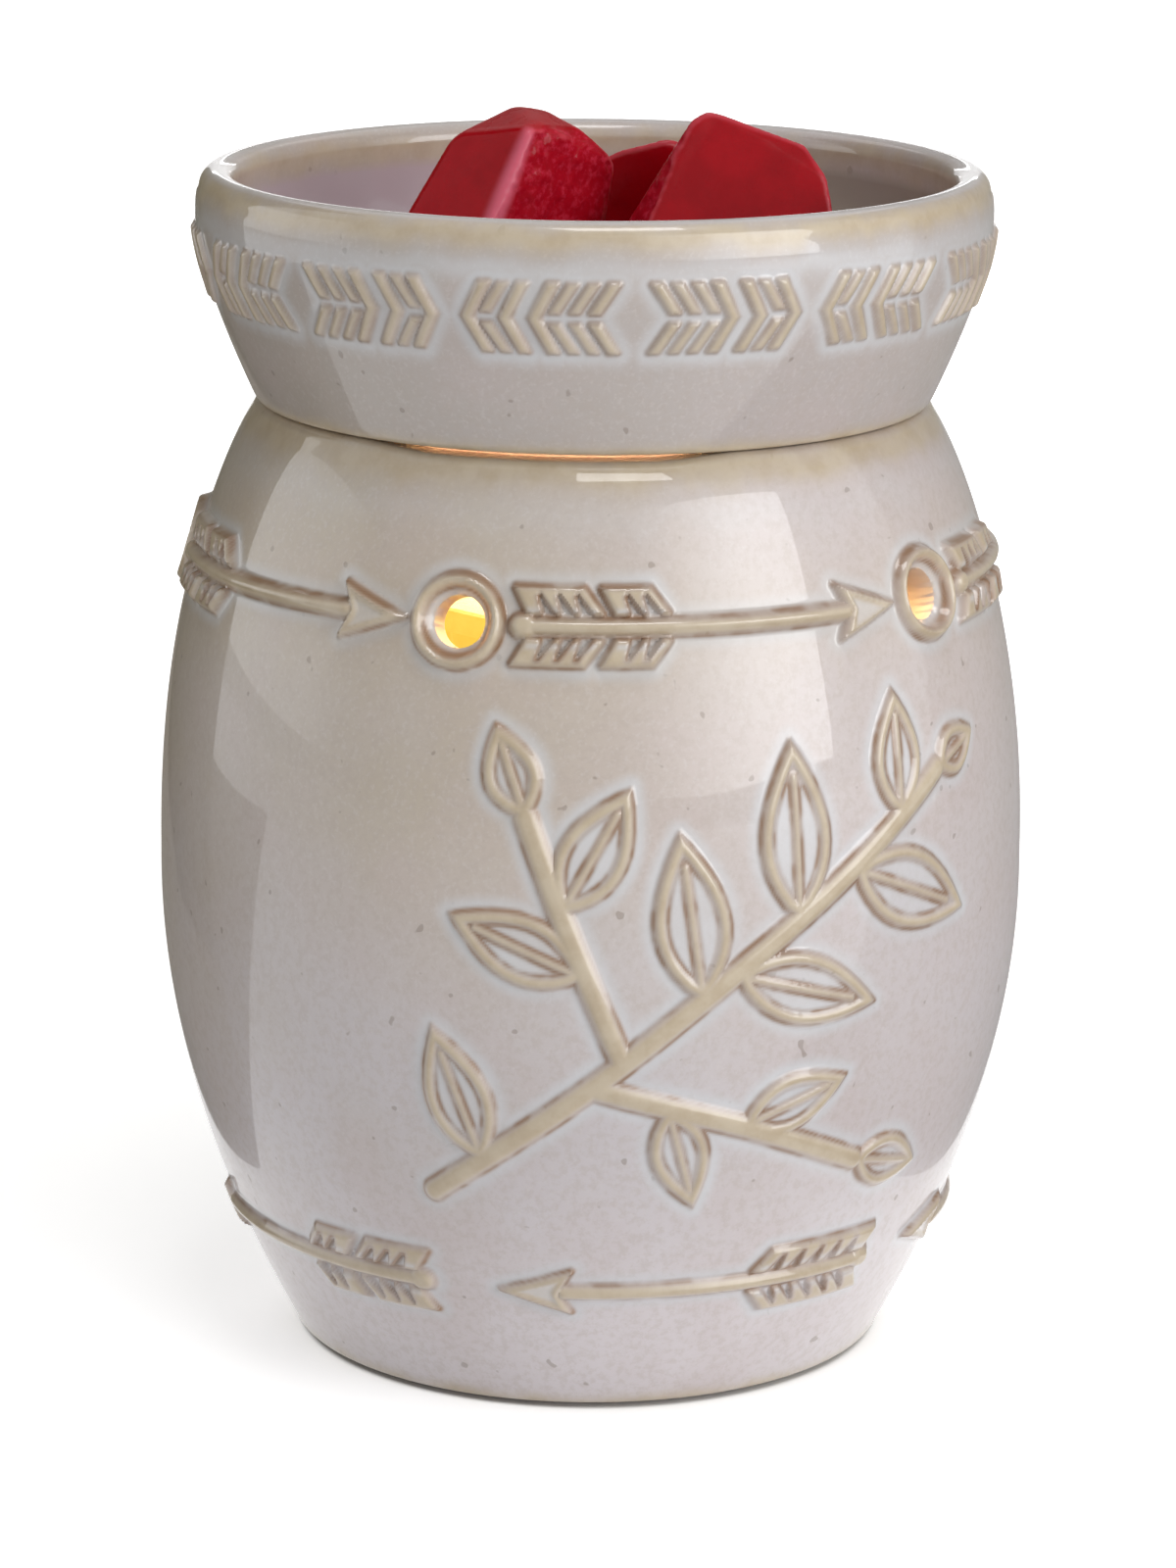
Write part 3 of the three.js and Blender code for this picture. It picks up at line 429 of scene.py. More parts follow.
def new_mesh(name, vertices, faces):
    """Object whose faces all have as many corners."""
    data = bpy.data.meshes.new(name)
    data.vertices.add(len(vertices))
    data.vertices.foreach_set("co", np.asarray(vertices, np.float32).ravel())
    size = faces.shape[1]
    data.loops.add(faces.size)
    data.loops.foreach_set("vertex_index", faces.astype(np.int32).ravel())
    data.polygons.add(len(faces))
    data.polygons.foreach_set("loop_start", np.arange(0, faces.size, size, dtype=np.int32))
    data.update(calc_edges=True)
    data.validate()
    return new_object(name, data)


def spaced(*parts):
    """Heights from one level to the next, each stretch with its own step."""
    out = [parts[0]]
    for end, step in zip(parts[1::2], parts[2::2]):
        count = max(1, round((end - out[-1]) / step))
        out.extend(np.linspace(out[-1], end, count + 1)[1:])
    return np.array(out)


def relief_rows(wall, heights, columns, relief_of, wobble):
    """Rows of a relief wall, moved out along the wall's normal."""
    phi, z = np.meshgrid(columns, heights)
    relief = relief_of(phi.ravel(), z.ravel())
    lift = relief.height.reshape(phi.shape) + wobble(phi, z)
    lean = wall.lean(heights)[:, None]
    r = wall.radius(heights)[:, None] + lift * np.cos(lean)
    return list(zip(r, z - lift * np.sin(lean)))


def arc(centre, radius, start, end, count):
    """Points (r, z) on an arc between two angles in degrees, 0 outward and 90 up."""
    angle = np.radians(np.linspace(start, end, count))
    return [(centre[0] + radius * math.cos(a), centre[1] + radius * math.sin(a)) for a in angle]


def cut_out(obj, cutters):
    """Takes the cutters' shapes out of the object, and deletes the cutters."""
    for cutter in cutters:
        modifier = obj.modifiers.new("cut", "BOOLEAN")
        modifier.operation = "DIFFERENCE"
        modifier.object = cutter
        modifier.solver = "MANIFOLD"
    graph = bpy.context.evaluated_depsgraph_get()
    data = bpy.data.meshes.new_from_object(obj.evaluated_get(graph))
    obj.modifiers.clear()
    old = obj.data
    obj.data = data
    bpy.data.meshes.remove(old)
    for cutter in cutters:
        bpy.data.objects.remove(cutter)


DRILL_LENGTH = 24


def drill(turn, z, radius):
    """Round cutter square to the barrel's wall."""
    lean = barrel_wall.lean(z)
    r = barrel_wall.radius(z)
    angle = math.radians(turn)
    out = Vector((math.sin(angle) * math.cos(lean), -math.cos(angle) * math.cos(lean), -math.sin(lean)))
    at = Vector((r * math.sin(angle), -r * math.cos(angle), z))
    matrix = out.to_track_quat("Z", "Y").to_matrix().to_4x4()
    mesh = bmesh.new()
    bmesh.ops.create_cone(mesh, cap_ends=True, segments=72, radius1=radius * MM,
                          radius2=radius * MM, depth=DRILL_LENGTH * MM)
    data = bpy.data.meshes.new("drill")
    mesh.to_mesh(data)
    mesh.free()
    matrix.translation = at * MM
    data.transform(matrix)
    return new_object("drill", data)


def shade(obj, angle=35):
    """Smooth shading, with edges sharp where they turn by more than the angle."""
    data = obj.data
    data.polygons.foreach_set("use_smooth", np.ones(len(data.polygons), bool))
    data.set_sharp_from_angle(angle=math.radians(angle))


def put_attribute(obj, name, values):
    attribute = obj.data.attributes.get(name) or obj.data.attributes.new(name, "FLOAT", "POINT")
    attribute.data.foreach_set("value", np.asarray(values, np.float32))


def vertex_values(obj, key):
    values = np.zeros(len(obj.data.vertices) * 3, np.float32)
    obj.data.vertices.foreach_get(key, values)
    return values.reshape(-1, 3).astype(float)


def coordinates(obj):
    return vertex_values(obj, "co") / MM


# How far under the wall's own radius a vertex still takes the ornament's glaze, and the body's
ORNAMENT_SKIN, BODY_SKIN = 1.6, 2.4


def glaze_attributes(obj, wall, relief_of, low, high, lines, thin, thick):
    """Where the glaze runs thin over raised work and edges, and where it pools beside them.

    lines is how strong the brown lines at the work's feet are, and thin and thick are bands as
    (height, spread, least radius, most radius, weight).
    """
    co = coordinates(obj)
    r, phi = np.hypot(co[:, 0], co[:, 1]), np.degrees(np.arctan2(co[:, 0], -co[:, 1]))
    z = co[:, 2]
    outside = (z > low) & (z < high) & (r > wall.radius(z) - ORNAMENT_SKIN)
    relief = relief_of(phi[outside], z[outside])
    near = relief.near
    drawn = near < FAR_AWAY * 0.9
    crest = np.zeros(len(co))
    halo = np.zeros(len(co))
    line = np.zeros(len(co))
    crest[outside] = bump(-near, -0.35, 0.85) * (1 - 0.85 * relief.pool)
    halo[outside] = np.maximum(
        bump(near, -0.1, 0.4) * (1 - bump(near, 0.6, 2.6)) * drawn, relief.pool)
    line[outside] = lines * np.exp(-((near - 0.08) / 0.36) ** 2) * drawn
    runs = noise(co * (1, 1, 0.25), 4.5, 11, 3) * 0.4
    for bands, value in ((thin, crest), (thick, halo)):
        for level, spread, least, most, weight in bands:
            band = weight * np.exp(-((z - level) / spread + runs) ** 2) * (r > least) * (r < most)
            value[:] = np.maximum(value, band)
    put_attribute(obj, "crest", crest)
    put_attribute(obj, "halo", halo)
    put_attribute(obj, "line", line)
    skin = wall.radius(np.clip(z, low, high)) - BODY_SKIN
    put_attribute(obj, "outside", (r > skin) | (z > high))


def barrel_wobble(phi, z):
    """Slight unevenness of the cast wall, which lies a little inside the solids' wall."""
    p = np.radians(phi)
    return (0.05 * np.sin(3 * p + z * 0.045 + 1.0) + 0.04 * np.sin(5 * p - z * 0.08)
            + 0.025 * np.sin(9 * p + z * 0.16 + 2.0)) * np.clip((z - 4) / 20, 0, 1) - 0.12


WALL_THICKNESS = 5.0


def make_barrel():
    columns = np.concatenate([
        spaced(-180, -SPRIG_HALF_TURN, 0.4)[:-1], spaced(-SPRIG_HALF_TURN, SPRIG_HALF_TURN, 0.27)[:-1],
        spaced(SPRIG_HALF_TURN, 180, 0.4)[:-1]])
    heights = spaced(2.0, 11.5, 0.9, 29.5, 0.31, 103.5, 0.34, 121.5, 0.32, 130.6, 0.75)
    # Foot, outer wall, rim, inside, and the ledge that holds the base plate
    rows = [(38.2, 0.8), (40.8, 0.8)]
    rows += arc((40.9, 2.0), 1.2, -80, -28, 5)
    rows += relief_rows(barrel_wall, heights, columns, barrel_relief, barrel_wobble)
    rise = RIM_RISE * bump(np.abs(turn_from(columns, GLOW_TURN)), 19, 34)
    rows += [(r, z + rise) for r, z in arc((45.15, 130.55), 2.05, 22, 90, 8)]
    rows += [(r, z + rise) for r, z in arc((42.6, 130.7), 1.9, 90, 180, 7)]
    inside = barrel_curve[(barrel_curve[:, 1] > 12) & (barrel_curve[:, 1] < 118)][::-12]
    rows += [(40.7, 127.2), (46.4, 120.5)]
    rows += [(r - WALL_THICKNESS, z) for r, z in inside[1:]]
    rows += [(40.6, 9.1), (33.6, 9.1), (33.0, 8.6), (33.0, 4.4), (33.3, 4.1), (38.0, 4.1), (38.0, 1.2)]
    obj = sweep_mesh("glazed_barrel", rows, columns)
    cut_out(obj, [drill(turn, LIGHT_HOLE_Z, LIGHT_HOLE_R) for turn in LIGHT_HOLES]
            + [drill(OUTLET_TURN, OUTLET_Z, OUTLET_R)])
    shade(obj)
    glaze_attributes(obj, barrel_wall, barrel_relief, 4, 131, 1.0,
                     [(0.6, 1.5, 39.5, 99, 1), (131.6, 1.9, 41.5, 99, 1), (112.5, 8, 50, 99, 0.2)],
                     [(126.5, 2.5, 41.5, 99, 0.25)])
    return obj


def make_dish():
    columns = spaced(-180, 180, 0.32)[:-1]
    heights = spaced(134.9, 146.2, 0.9, 159.4, 0.28, 160.2, 0.4)
    # Underside with its locating ring, outer wall, rim and inside
    rows = [(0.6, 134.5), (20, 134.5), (34.6, 134.5), (35.3, 133.8), (35.5, 132.6)]
    rows += arc((36.3, 131.3), 0.8, 180, 270, 4)
    rows += arc((37.7, 131.3), 0.8, 270, 360, 4)
    rows += [(38.5, 133.0), (38.8, 133.5), (45.6, 133.5)]
    rows += arc((45.8, 134.6), 1.1, -85, -20, 4)
    rows += relief_rows(dish_wall, heights, columns, dish_relief, lambda phi, z: 0 * phi)
    rows += [(54.62, 161.3), (54.45, 162.1)]
    rows += arc((51.7, 162.5), 2.5, 2, 178, 15)
    rows += [(r, z) for r, z in bezier([(49.2, 162.3), (49.2, 148), (44, 139.5), (32, 139.5)], 26)]
    rows += [(20, 139.5), (8, 139.5), (0.6, 139.5)]
    obj = sweep_mesh("glazed_dish", rows, columns)
    shade(obj)
    glaze_attributes(obj, dish_wall, dish_relief, 136, 160.5, 0.45,
                     [(163.2, 1.6, 52.9, 99, 1), (162.0, 1.7, 0, 50.2, 0.9), (133.6, 1.1, 44.5, 99, 1)],
                     [(159.0, 1.6, 52, 99, 0.75), (165.2, 0.5, 50.2, 53.2, 0.4)])
    return obj


# Noise that moves vertices and glaze bands

NOISE_TABLE = 4096
NOISE_PRIMES = (73856093, 19349663, 83492791)


def noise(points, scale, seed, octaves=3):
    """Smooth value noise at the points, between about -1 and 1."""
    total = np.zeros(len(points))
    amount = 1.0
    generator = np.random.default_rng(seed)
    for _ in range(octaves):
        table = generator.uniform(-1, 1, NOISE_TABLE)
        p = points / scale
        cell = np.floor(p).astype(int)
        f = p - cell
        f = f * f * (3 - 2 * f)
        value = np.zeros(len(points))
        for i in (0, 1):
            for j in (0, 1):
                for k in (0, 1):
                    corner = (cell + (i, j, k)) * NOISE_PRIMES
                    key = (corner[:, 0] ^ corner[:, 1] ^ corner[:, 2]) & (NOISE_TABLE - 1)
                    weight = ((f[:, 0] if i else 1 - f[:, 0]) * (f[:, 1] if j else 1 - f[:, 1])
                              * (f[:, 2] if k else 1 - f[:, 2]))
                    value += weight * table[key]
        total += amount * value
        scale, amount = scale / 2.1, amount * 0.5
    return total


# Wax

# Corners of each chunk as [right, away, up] seen from the camera, in steps of MELT_STEP
MELT_STEP = 0.3
MELTS = {
    "left": [(-28, -23, 107), (-50, -40, 55), (-67, -47, 3), (-65, 0, 100), (-88, -10, 62),
             (-103, 0, 3), (-37, 10, 113), (-22, 7, 111), (-5, 7, 102), (10, 10, 88),
             (-3, 10, 3), (-40, 40, 93), (-80, 40, 47), (-83, 47, 3), (-10, 43, 3), (0, 40, 67)],
    "middle": [(-13, 53, 73), (11, 53, 87), (35, 55, 93), (42, 60, 90), (53, 53, 47),
               (57, 53, 3), (-30, 53, 3), (-13, 97, 57), (30, 97, 67), (43, 100, 3), (-27, 100, 3)],
    "right": [(43, -20, 110), (50, -18, 113.7), (56, -18, 112.8), (95, -18, 99), (105, -23, 85),
              (110, -30, 60), (103, -43, 3), (7, -45, 3), (21, -32, 58), (12, -13, 58),
              (-2, -17, 3), (57, 27, 103), (93, 27, 90), (103, 30, 50), (97, 33, 3), (17, 30, 3)],
}

# Which way each chunk's rough, broken face looks
BROKEN_FACES = {"left": (0.80, -0.52, 0.30), "right": (-0.75, -0.45, 0.30)}


def melt_body(side, corners):
    """Chunk with rounded edges and an even, fine mesh."""
    mesh = bmesh.new()
    for corner in corners:
        mesh.verts.new(corner * MM)
    bmesh.ops.convex_hull(mesh, input=mesh.verts)
    bmesh.ops.dissolve_limit(mesh, angle_limit=math.radians(7), verts=mesh.verts, edges=mesh.edges)
    data = bpy.data.meshes.new(f"melt_{side}")
    mesh.to_mesh(data)
    mesh.free()
    obj = new_object(f"melt_{side}", data)
    bevel = obj.modifiers.new("bevel", "BEVEL")
    bevel.width = 0.8 * MM
    bevel.segments = 3
    bevel.limit_method = "NONE"
    remesh = obj.modifiers.new("remesh", "REMESH")
    remesh.mode = "VOXEL"
    remesh.voxel_size = 0.42 * MM
    smooth = obj.modifiers.new("smooth", "SMOOTH")
    smooth.iterations = 4
    graph = bpy.context.evaluated_depsgraph_get()
    data = bpy.data.meshes.new_from_object(obj.evaluated_get(graph))
    obj.modifiers.clear()
    obj.data = data
    return obj


def make_melt(side, floor):
    """Chunk of wax that stands on the height floor, with rough broken faces."""
    corners = np.array(MELTS[side], float) * MELT_STEP
    corners[:, 2] += floor - corners[:, 2].min()
    obj = melt_body(side, corners)
    co = coordinates(obj)
    normals = vertex_values(obj, "normal")
    broken = np.zeros(len(co))
    if side in BROKEN_FACES:
        broken = bump(normals @ np.array(BROKEN_FACES[side]), 0.80, 0.93)
    ridge_highlight = np.zeros(len(co))
    if side == "left":
        # A painted highlight, a pale stripe, runs along the edge between the chunk's first and third
        # corners
        a, b = corners[0], corners[2]
        share = np.clip((co - a) @ (b - a) / ((b - a) @ (b - a)), 0.02, 1)
        off = np.linalg.norm(co - a - share[:, None] * (b - a) - (-0.5, -0.5, 0.1), axis=1)
        ridge_highlight = 1 - bump(off, 0.5, 2.3)
    coarse = noise(co, 3.2, 3) * 0.30 + noise(co, 1.1, 9, 2) * 0.16
    fine = noise(co, 6.0, 5, 2) * 0.06
    move = broken * coarse + (1 - broken) * fine - 0.12 * broken
    co = co + normals * move[:, None]
    turn = math.radians(CAMERA_TURN)
    spun = co.copy()
    spun[:, 0] = co[:, 0] * math.cos(turn) - co[:, 1] * math.sin(turn)
    spun[:, 1] = co[:, 0] * math.sin(turn) + co[:, 1] * math.cos(turn)
    obj.data.vertices.foreach_set("co", (spun * MM).astype(np.float32).ravel())
    obj.data.update()
    put_attribute(obj, "broken", broken)
    put_attribute(obj, "ridge_highlight", ridge_highlight)
    shade(obj, 60)
    edge_highlight_attribute(obj)
    return obj


def edge_highlight_attribute(obj):
    """How convex the surface is at each vertex, for the painted highlight on the wax's edges."""
    data = obj.data
    co = coordinates(obj)
    normals = vertex_values(obj, "normal")
    edges = np.zeros(len(data.edges) * 2, np.int32)
    data.edges.foreach_get("vertices", edges)
    a, b = edges.reshape(-1, 2).T
    along = co[b] - co[a]
    length = np.linalg.norm(along, axis=1) + 1e-9
    bend = np.einsum("ij,ij->i", normals[b] - normals[a], along) / length ** 2
    total = np.bincount(a, bend, len(co)) + np.bincount(b, bend, len(co))
    count = np.bincount(a, minlength=len(co)) + np.bincount(b, minlength=len(co))
    curve = total / np.maximum(count, 1)
    for _ in range(3):
        spread = np.bincount(a, curve[b], len(co)) + np.bincount(b, curve[a], len(co))
        curve = 0.5 * curve + 0.5 * spread / np.maximum(count, 1)
    put_attribute(obj, "edge", np.clip(curve * 1.6, 0, 1))


# Materials


class Nodes:
    """Small helper round a material's node tree."""

    def __init__(self, name):
        self.material = bpy.data.materials.new(name)
        self.material.use_nodes = True
        self.tree = self.material.node_tree
        self.shader = self.tree.nodes["Principled BSDF"]
        self.out = self.tree.nodes["Material Output"]

    def add(self, kind, **values):
        node = self.tree.nodes.new(kind)
        for key, value in values.items():
            setattr(node, key, value)
        return node

    def link(self, start, end):
        self.tree.links.new(start, end)

    def set(self, **values):
        for key, value in values.items():
            self.shader.inputs[key.replace("_", " ")].default_value = value

    def attribute(self, name):
        return self.add("ShaderNodeAttribute", attribute_name=name).outputs["Fac"]

    def position(self):
        return self.add("ShaderNodeTexCoord").outputs["Object"]

    def noise(self, scale, detail=3, roughness=0.55, stretch=None):
        node = self.add("ShaderNodeTexNoise")
        node.inputs["Scale"].default_value = scale
        node.inputs["Detail"].default_value = detail
        node.inputs["Roughness"].default_value = roughness
        where = self.position()
        if stretch:
            mapping = self.add("ShaderNodeMapping")
            mapping.inputs["Scale"].default_value = stretch
            self.link(where, mapping.inputs["Vector"])
            where = mapping.outputs["Vector"]
        self.link(where, node.inputs["Vector"])
        return node.outputs["Fac"]

    def remap(self, value, low, high, to_low=0.0, to_high=1.0):
        node = self.add("ShaderNodeMapRange")
        node.interpolation_type = "SMOOTHSTEP"
        self.link(value, node.inputs["Value"])
        for key, number in zip(("From Min", "From Max", "To Min", "To Max"),
                               (low, high, to_low, to_high)):
            node.inputs[key].default_value = number
        return node.outputs["Result"]

    def math(self, operation, a, b):
        node = self.add("ShaderNodeMath", operation=operation)
        for socket, value in zip(node.inputs, (a, b)):
            if isinstance(value, (int, float)):
                socket.default_value = value
            else:
                self.link(value, socket)
        return node.outputs[0]

    def mix(self, factor, a, b):
        """Colour between a and b. The mix node's sockets 0, 6 and 7 are its factor and colours."""
        node = self.add("ShaderNodeMix", data_type="RGBA")
        self.link(factor, node.inputs[0])
        for socket, value in ((node.inputs[6], a), (node.inputs[7], b)):
            if isinstance(value, tuple):
                socket.default_value = (*value, 1)
            else:
                self.link(value, socket)
        return node.outputs[2]

    def bump(self, height, strength, distance, chain=None):
        node = self.add("ShaderNodeBump")
        node.inputs["Strength"].default_value = strength
        node.inputs["Distance"].default_value = distance
        self.link(height, node.inputs["Height"])
        if chain is not None:
            self.link(chain, node.inputs["Normal"])
        return node.outputs["Normal"]

    def finish(self, color=None, roughness=None, normal=None):
        if color is not None:
            self.link(color, self.shader.inputs["Base Color"])
        if roughness is not None:
            self.link(roughness, self.shader.inputs["Roughness"])
        if normal is not None:
            self.link(normal, self.shader.inputs["Normal"])
        return self.material


def rgb(r, g, b):
    """Linear colour from 0-255 display values."""
    return tuple(c / 12.92 if c <= 0.04045 else ((c + 0.055) / 1.055) ** 2.4
                 for c in (r / 255, g / 255, b / 255))


def glaze_material():
    """Pale stoneware glaze: warm above, greyer below, brown where it runs thin, pale in pools. Its upper
    part is darker and more olive on the left, partly its own tone and partly painted shade, and its
    inside has painted shade towards +x.
    """
    n = Nodes("glaze")
    n.set(Coat_Weight=0.8, Coat_Roughness=0.03, Coat_IOR=1.5, Specular_IOR_Level=0.4)
    place = n.add("ShaderNodeSeparateXYZ")
    n.link(n.position(), place.inputs[0])
    up, across = place.outputs["Z"], place.outputs["X"]
    warm = n.math("MULTIPLY", n.remap(up, 0.02, 0.12), n.remap(up, 0.126, 0.137, 1.0, 0.7))
    cloud = n.remap(n.noise(22, 4, 0.6), 0.35, 0.68, -0.2, 0.2)
    # Upper glaze, darker and more olive towards -x: partly the glaze's own tone, partly painted shade on
    # the side away from the main light
    top_with_left_shade = n.mix(n.remap(across, -0.045, 0.02), rgb(191, 178, 160), rgb(204, 193, 190))
    body = n.mix(n.math("ADD", warm, cloud), rgb(205, 198, 201), top_with_left_shade)
    body = n.mix(n.remap(up, 0.131, 0.135, 0.0, 0.6), body, rgb(176, 168, 164))
    body = n.mix(n.remap(up, 0.01, 0.045, 0.7, 0.0), body, rgb(224, 216, 219))
    blush = n.remap(n.noise(48, 4, 0.6), 0.4, 0.7, 0.0, 0.35)
    body = n.mix(blush, body, rgb(200, 183, 180))
    fleck = n.remap(n.noise(800, 3, 0.7), 0.42, 0.66)
    body = n.mix(n.math("MULTIPLY", fleck, 0.3), body, rgb(182, 168, 158))
    pale = n.remap(n.noise(1500, 2, 0.6), 0.5, 0.72)
    body = n.mix(n.math("MULTIPLY", pale, 0.25), body, rgb(214, 208, 206))
    pin = n.remap(n.noise(420, 1, 0.5), 0.74, 0.78)
    body = n.mix(n.math("MULTIPLY", pin, 0.5), body, rgb(130, 112, 98))
    patch = n.remap(n.noise(60, 3, 0.6), 0.3, 0.7, 0.6, 1.0)
    halo = n.math("MULTIPLY", n.attribute("halo"), patch)
    body = n.mix(n.math("MULTIPLY", halo, 0.72), body, rgb(213, 216, 220))
    thin = n.mix(n.remap(n.noise(260, 3, 0.6), 0.35, 0.7), rgb(199, 183, 156), rgb(187, 168, 138))
    body = n.mix(n.math("MULTIPLY", n.attribute("crest"), 0.92), body, thin)
    streak = n.remap(n.noise(180, 2, 0.5), 0.40, 0.60, 0.4, 1.0)
    body = n.mix(n.math("MULTIPLY", n.attribute("line"), streak), body, rgb(140, 106, 76))
    inside = n.mix(n.remap(n.noise(30, 3), 0.3, 0.7), rgb(194, 180, 186), rgb(186, 170, 176))
    # Painted shade: the inside turns darker and browner towards +x, on the inner wall that the lights
    # don't reach
    inside = n.mix(n.remap(across, -0.01, 0.04), inside, rgb(160, 149, 136))
    inside = n.mix(n.math("MULTIPLY", n.attribute("crest"), 0.8), inside, thin)
    color = n.mix(n.attribute("outside"), inside, body)
    normal = n.bump(n.noise(60, 2, 0.5), 0.08, 0.002)
    normal = n.bump(n.noise(900, 2, 0.5), 0.02, 0.0003, normal)
    return n.finish(color, n.remap(n.noise(400, 2), 0.3, 0.7, 0.28, 0.33), normal)


def wax_material():
    """Red wax with painted highlights on its edges and in a stripe on the left chunk, and rough, paler
    broken faces.
    """
    n = Nodes("red_wax")
    n.set(Subsurface_Weight=0.1, Subsurface_Radius=(0.004, 0.0006, 0.0005), Subsurface_Scale=0.5,
          Coat_Weight=0.22, Coat_Roughness=0.06, Specular_IOR_Level=0.05)
    body = n.mix(n.remap(n.noise(120, 4, 0.6), 0.35, 0.65), rgb(156, 3, 18), rgb(172, 5, 22))
    rough_red = n.mix(n.remap(n.noise(900, 3, 0.7), 0.45, 0.7), rgb(166, 8, 30), rgb(192, 44, 66))
    color = n.mix(n.attribute("broken"), body, rough_red)
    # Painted highlight on the wax's convex edges
    color = n.mix(n.math("MULTIPLY", n.remap(n.attribute("edge"), 0.35, 1.0), 0.45), color,
                  rgb(214, 84, 98))
    # Painted highlight in a pale stripe along one edge of the left chunk
    color = n.mix(n.math("MULTIPLY", n.attribute("ridge_highlight"), 0.8), color, rgb(226, 112, 134))
    rough = n.math("ADD", n.remap(n.noise(300, 3), 0.3, 0.7, 0.22, 0.36),
                   n.math("MULTIPLY", n.attribute("broken"), 0.35))
    normal = n.bump(n.noise(500, 4, 0.6), 0.12, 0.0005)
    return n.finish(color, rough, normal)


GRAIN_DEPTH = 0.0003


def metal_material(name, color, dark, rough, stretch=(1, 1, 1)):
    n = Nodes(name)
    n.set(Metallic=1.0)
    grain = n.noise(400, 4, 0.6, stretch=stretch)
    tone = n.mix(n.remap(grain, 0.35, 0.65), dark, color)
    return n.finish(tone, n.remap(grain, 0.3, 0.7, rough - 0.08, rough + 0.1),
                    n.bump(grain, 0.08, GRAIN_DEPTH))


def matte_material(name, color, dark, rough, scale=500, **values):
    n = Nodes(name)
    n.set(**values)
    grain = n.noise(scale, 4, 0.6)
    tone = n.mix(n.remap(grain, 0.3, 0.7), dark, color)
    return n.finish(tone, n.remap(grain, 0.3, 0.7, rough - 0.06, rough + 0.06),
                    n.bump(grain, 0.15, GRAIN_DEPTH))


def lit_material(name, color, dark, strength):
    n = Nodes(name)
    tone = n.mix(n.remap(n.noise(300, 2), 0.3, 0.7), dark, color)
    n.link(tone, n.shader.inputs["Emission Color"])
    n.set(Emission_Strength=strength)
    return n.finish(tone)


def reflector_material():
    """Dichroic glass that lets some of the warm light through, more of it near the rim."""
    n = Nodes("reflector_glass")
    n.set(Metallic=0.15, Roughness=0.5, Emission_Strength=0.92)
    height = n.add("ShaderNodeSeparateXYZ")
    n.link(n.position(), height.inputs[0])
    near_rim = n.remap(height.outputs["Z"], 0.088, 0.105)
    glow = n.mix(near_rim, rgb(244, 150, 30), rgb(255, 218, 84))
    glow = n.mix(n.remap(n.noise(240, 3), 0.35, 0.65, 0.0, 0.35), glow, rgb(255, 196, 56))
    n.link(glow, n.shader.inputs["Emission Color"])
    return n.finish(n.mix(near_rim, rgb(72, 34, 10), rgb(62, 28, 8)))


materials = {
    "glaze": glaze_material(),
    "red_wax": wax_material(),
    "sheet_steel": metal_material("sheet_steel", (0.62, 0.63, 0.64), (0.48, 0.49, 0.5), 0.36, (1, 9, 1)),
    "zinc_screw": metal_material("zinc_screw", (0.7, 0.71, 0.72), (0.55, 0.55, 0.55), 0.3),
    "black_rubber": matte_material("black_rubber", (0.035, 0.035, 0.037), (0.02, 0.02, 0.022), 0.7),
    "holder_ceramic": matte_material("holder_ceramic", (0.80, 0.76, 0.68), (0.70, 0.66, 0.58), 0.55),
    "terminal_plastic": matte_material("terminal_plastic", (0.82, 0.81, 0.77), (0.74, 0.73, 0.69), 0.4),
    "terminal_brass": metal_material("terminal_brass", (0.72, 0.5, 0.2), (0.55, 0.36, 0.13), 0.32),
    "lead_brown": matte_material("lead_brown", (0.22, 0.09, 0.03), (0.16, 0.06, 0.02), 0.4),
    "lead_blue": matte_material("lead_blue", (0.03, 0.12, 0.42), (0.02, 0.09, 0.32), 0.4),
    "reflector_glass": reflector_material(),
    "clear_glass": matte_material("clear_glass", (0.95, 0.94, 0.9), (0.9, 0.88, 0.84), 0.1,
                                  Transmission_Weight=0.9),
    "lit_capsule": lit_material("lit_capsule", (1.0, 0.78, 0.42), (1.0, 0.7, 0.3), 22.0),
}

# Pieces on their bodies


def dress(obj, slot, body):
    """Gives a piece its material and slot, and lets it ride on a body."""
    obj.data.materials.clear()
    obj.data.materials.append(materials[slot])
    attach(obj, body)


slots = {part["node"]: part["material_slot"] for part in frame["record"]["subparts"]}
for node, obj in frame["nodes"].items():
    for slot in obj.material_slots:
        slot.material = materials[slots[node]]
    if not obj.material_slots:
        obj.data.materials.append(materials[slots[node]])

barrel = make_barrel()
dress(barrel, "glaze", "barrel")
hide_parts("barrel_shell")
dish = make_dish()
dress(dish, "glaze", "dish")
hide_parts("fragrance_dish")
for side in MELTS:
    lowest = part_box(f"wax_melt_{side}")[0].z / MM
    melt = make_melt(side, lowest)
    dress(melt, "red_wax", "dish")
    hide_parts(f"wax_melt_{side}")

# Floor

FOOT_SHADE_R = (0.0405, 0.0418)
FLOOR_GLOW = (0.535, 0.7)


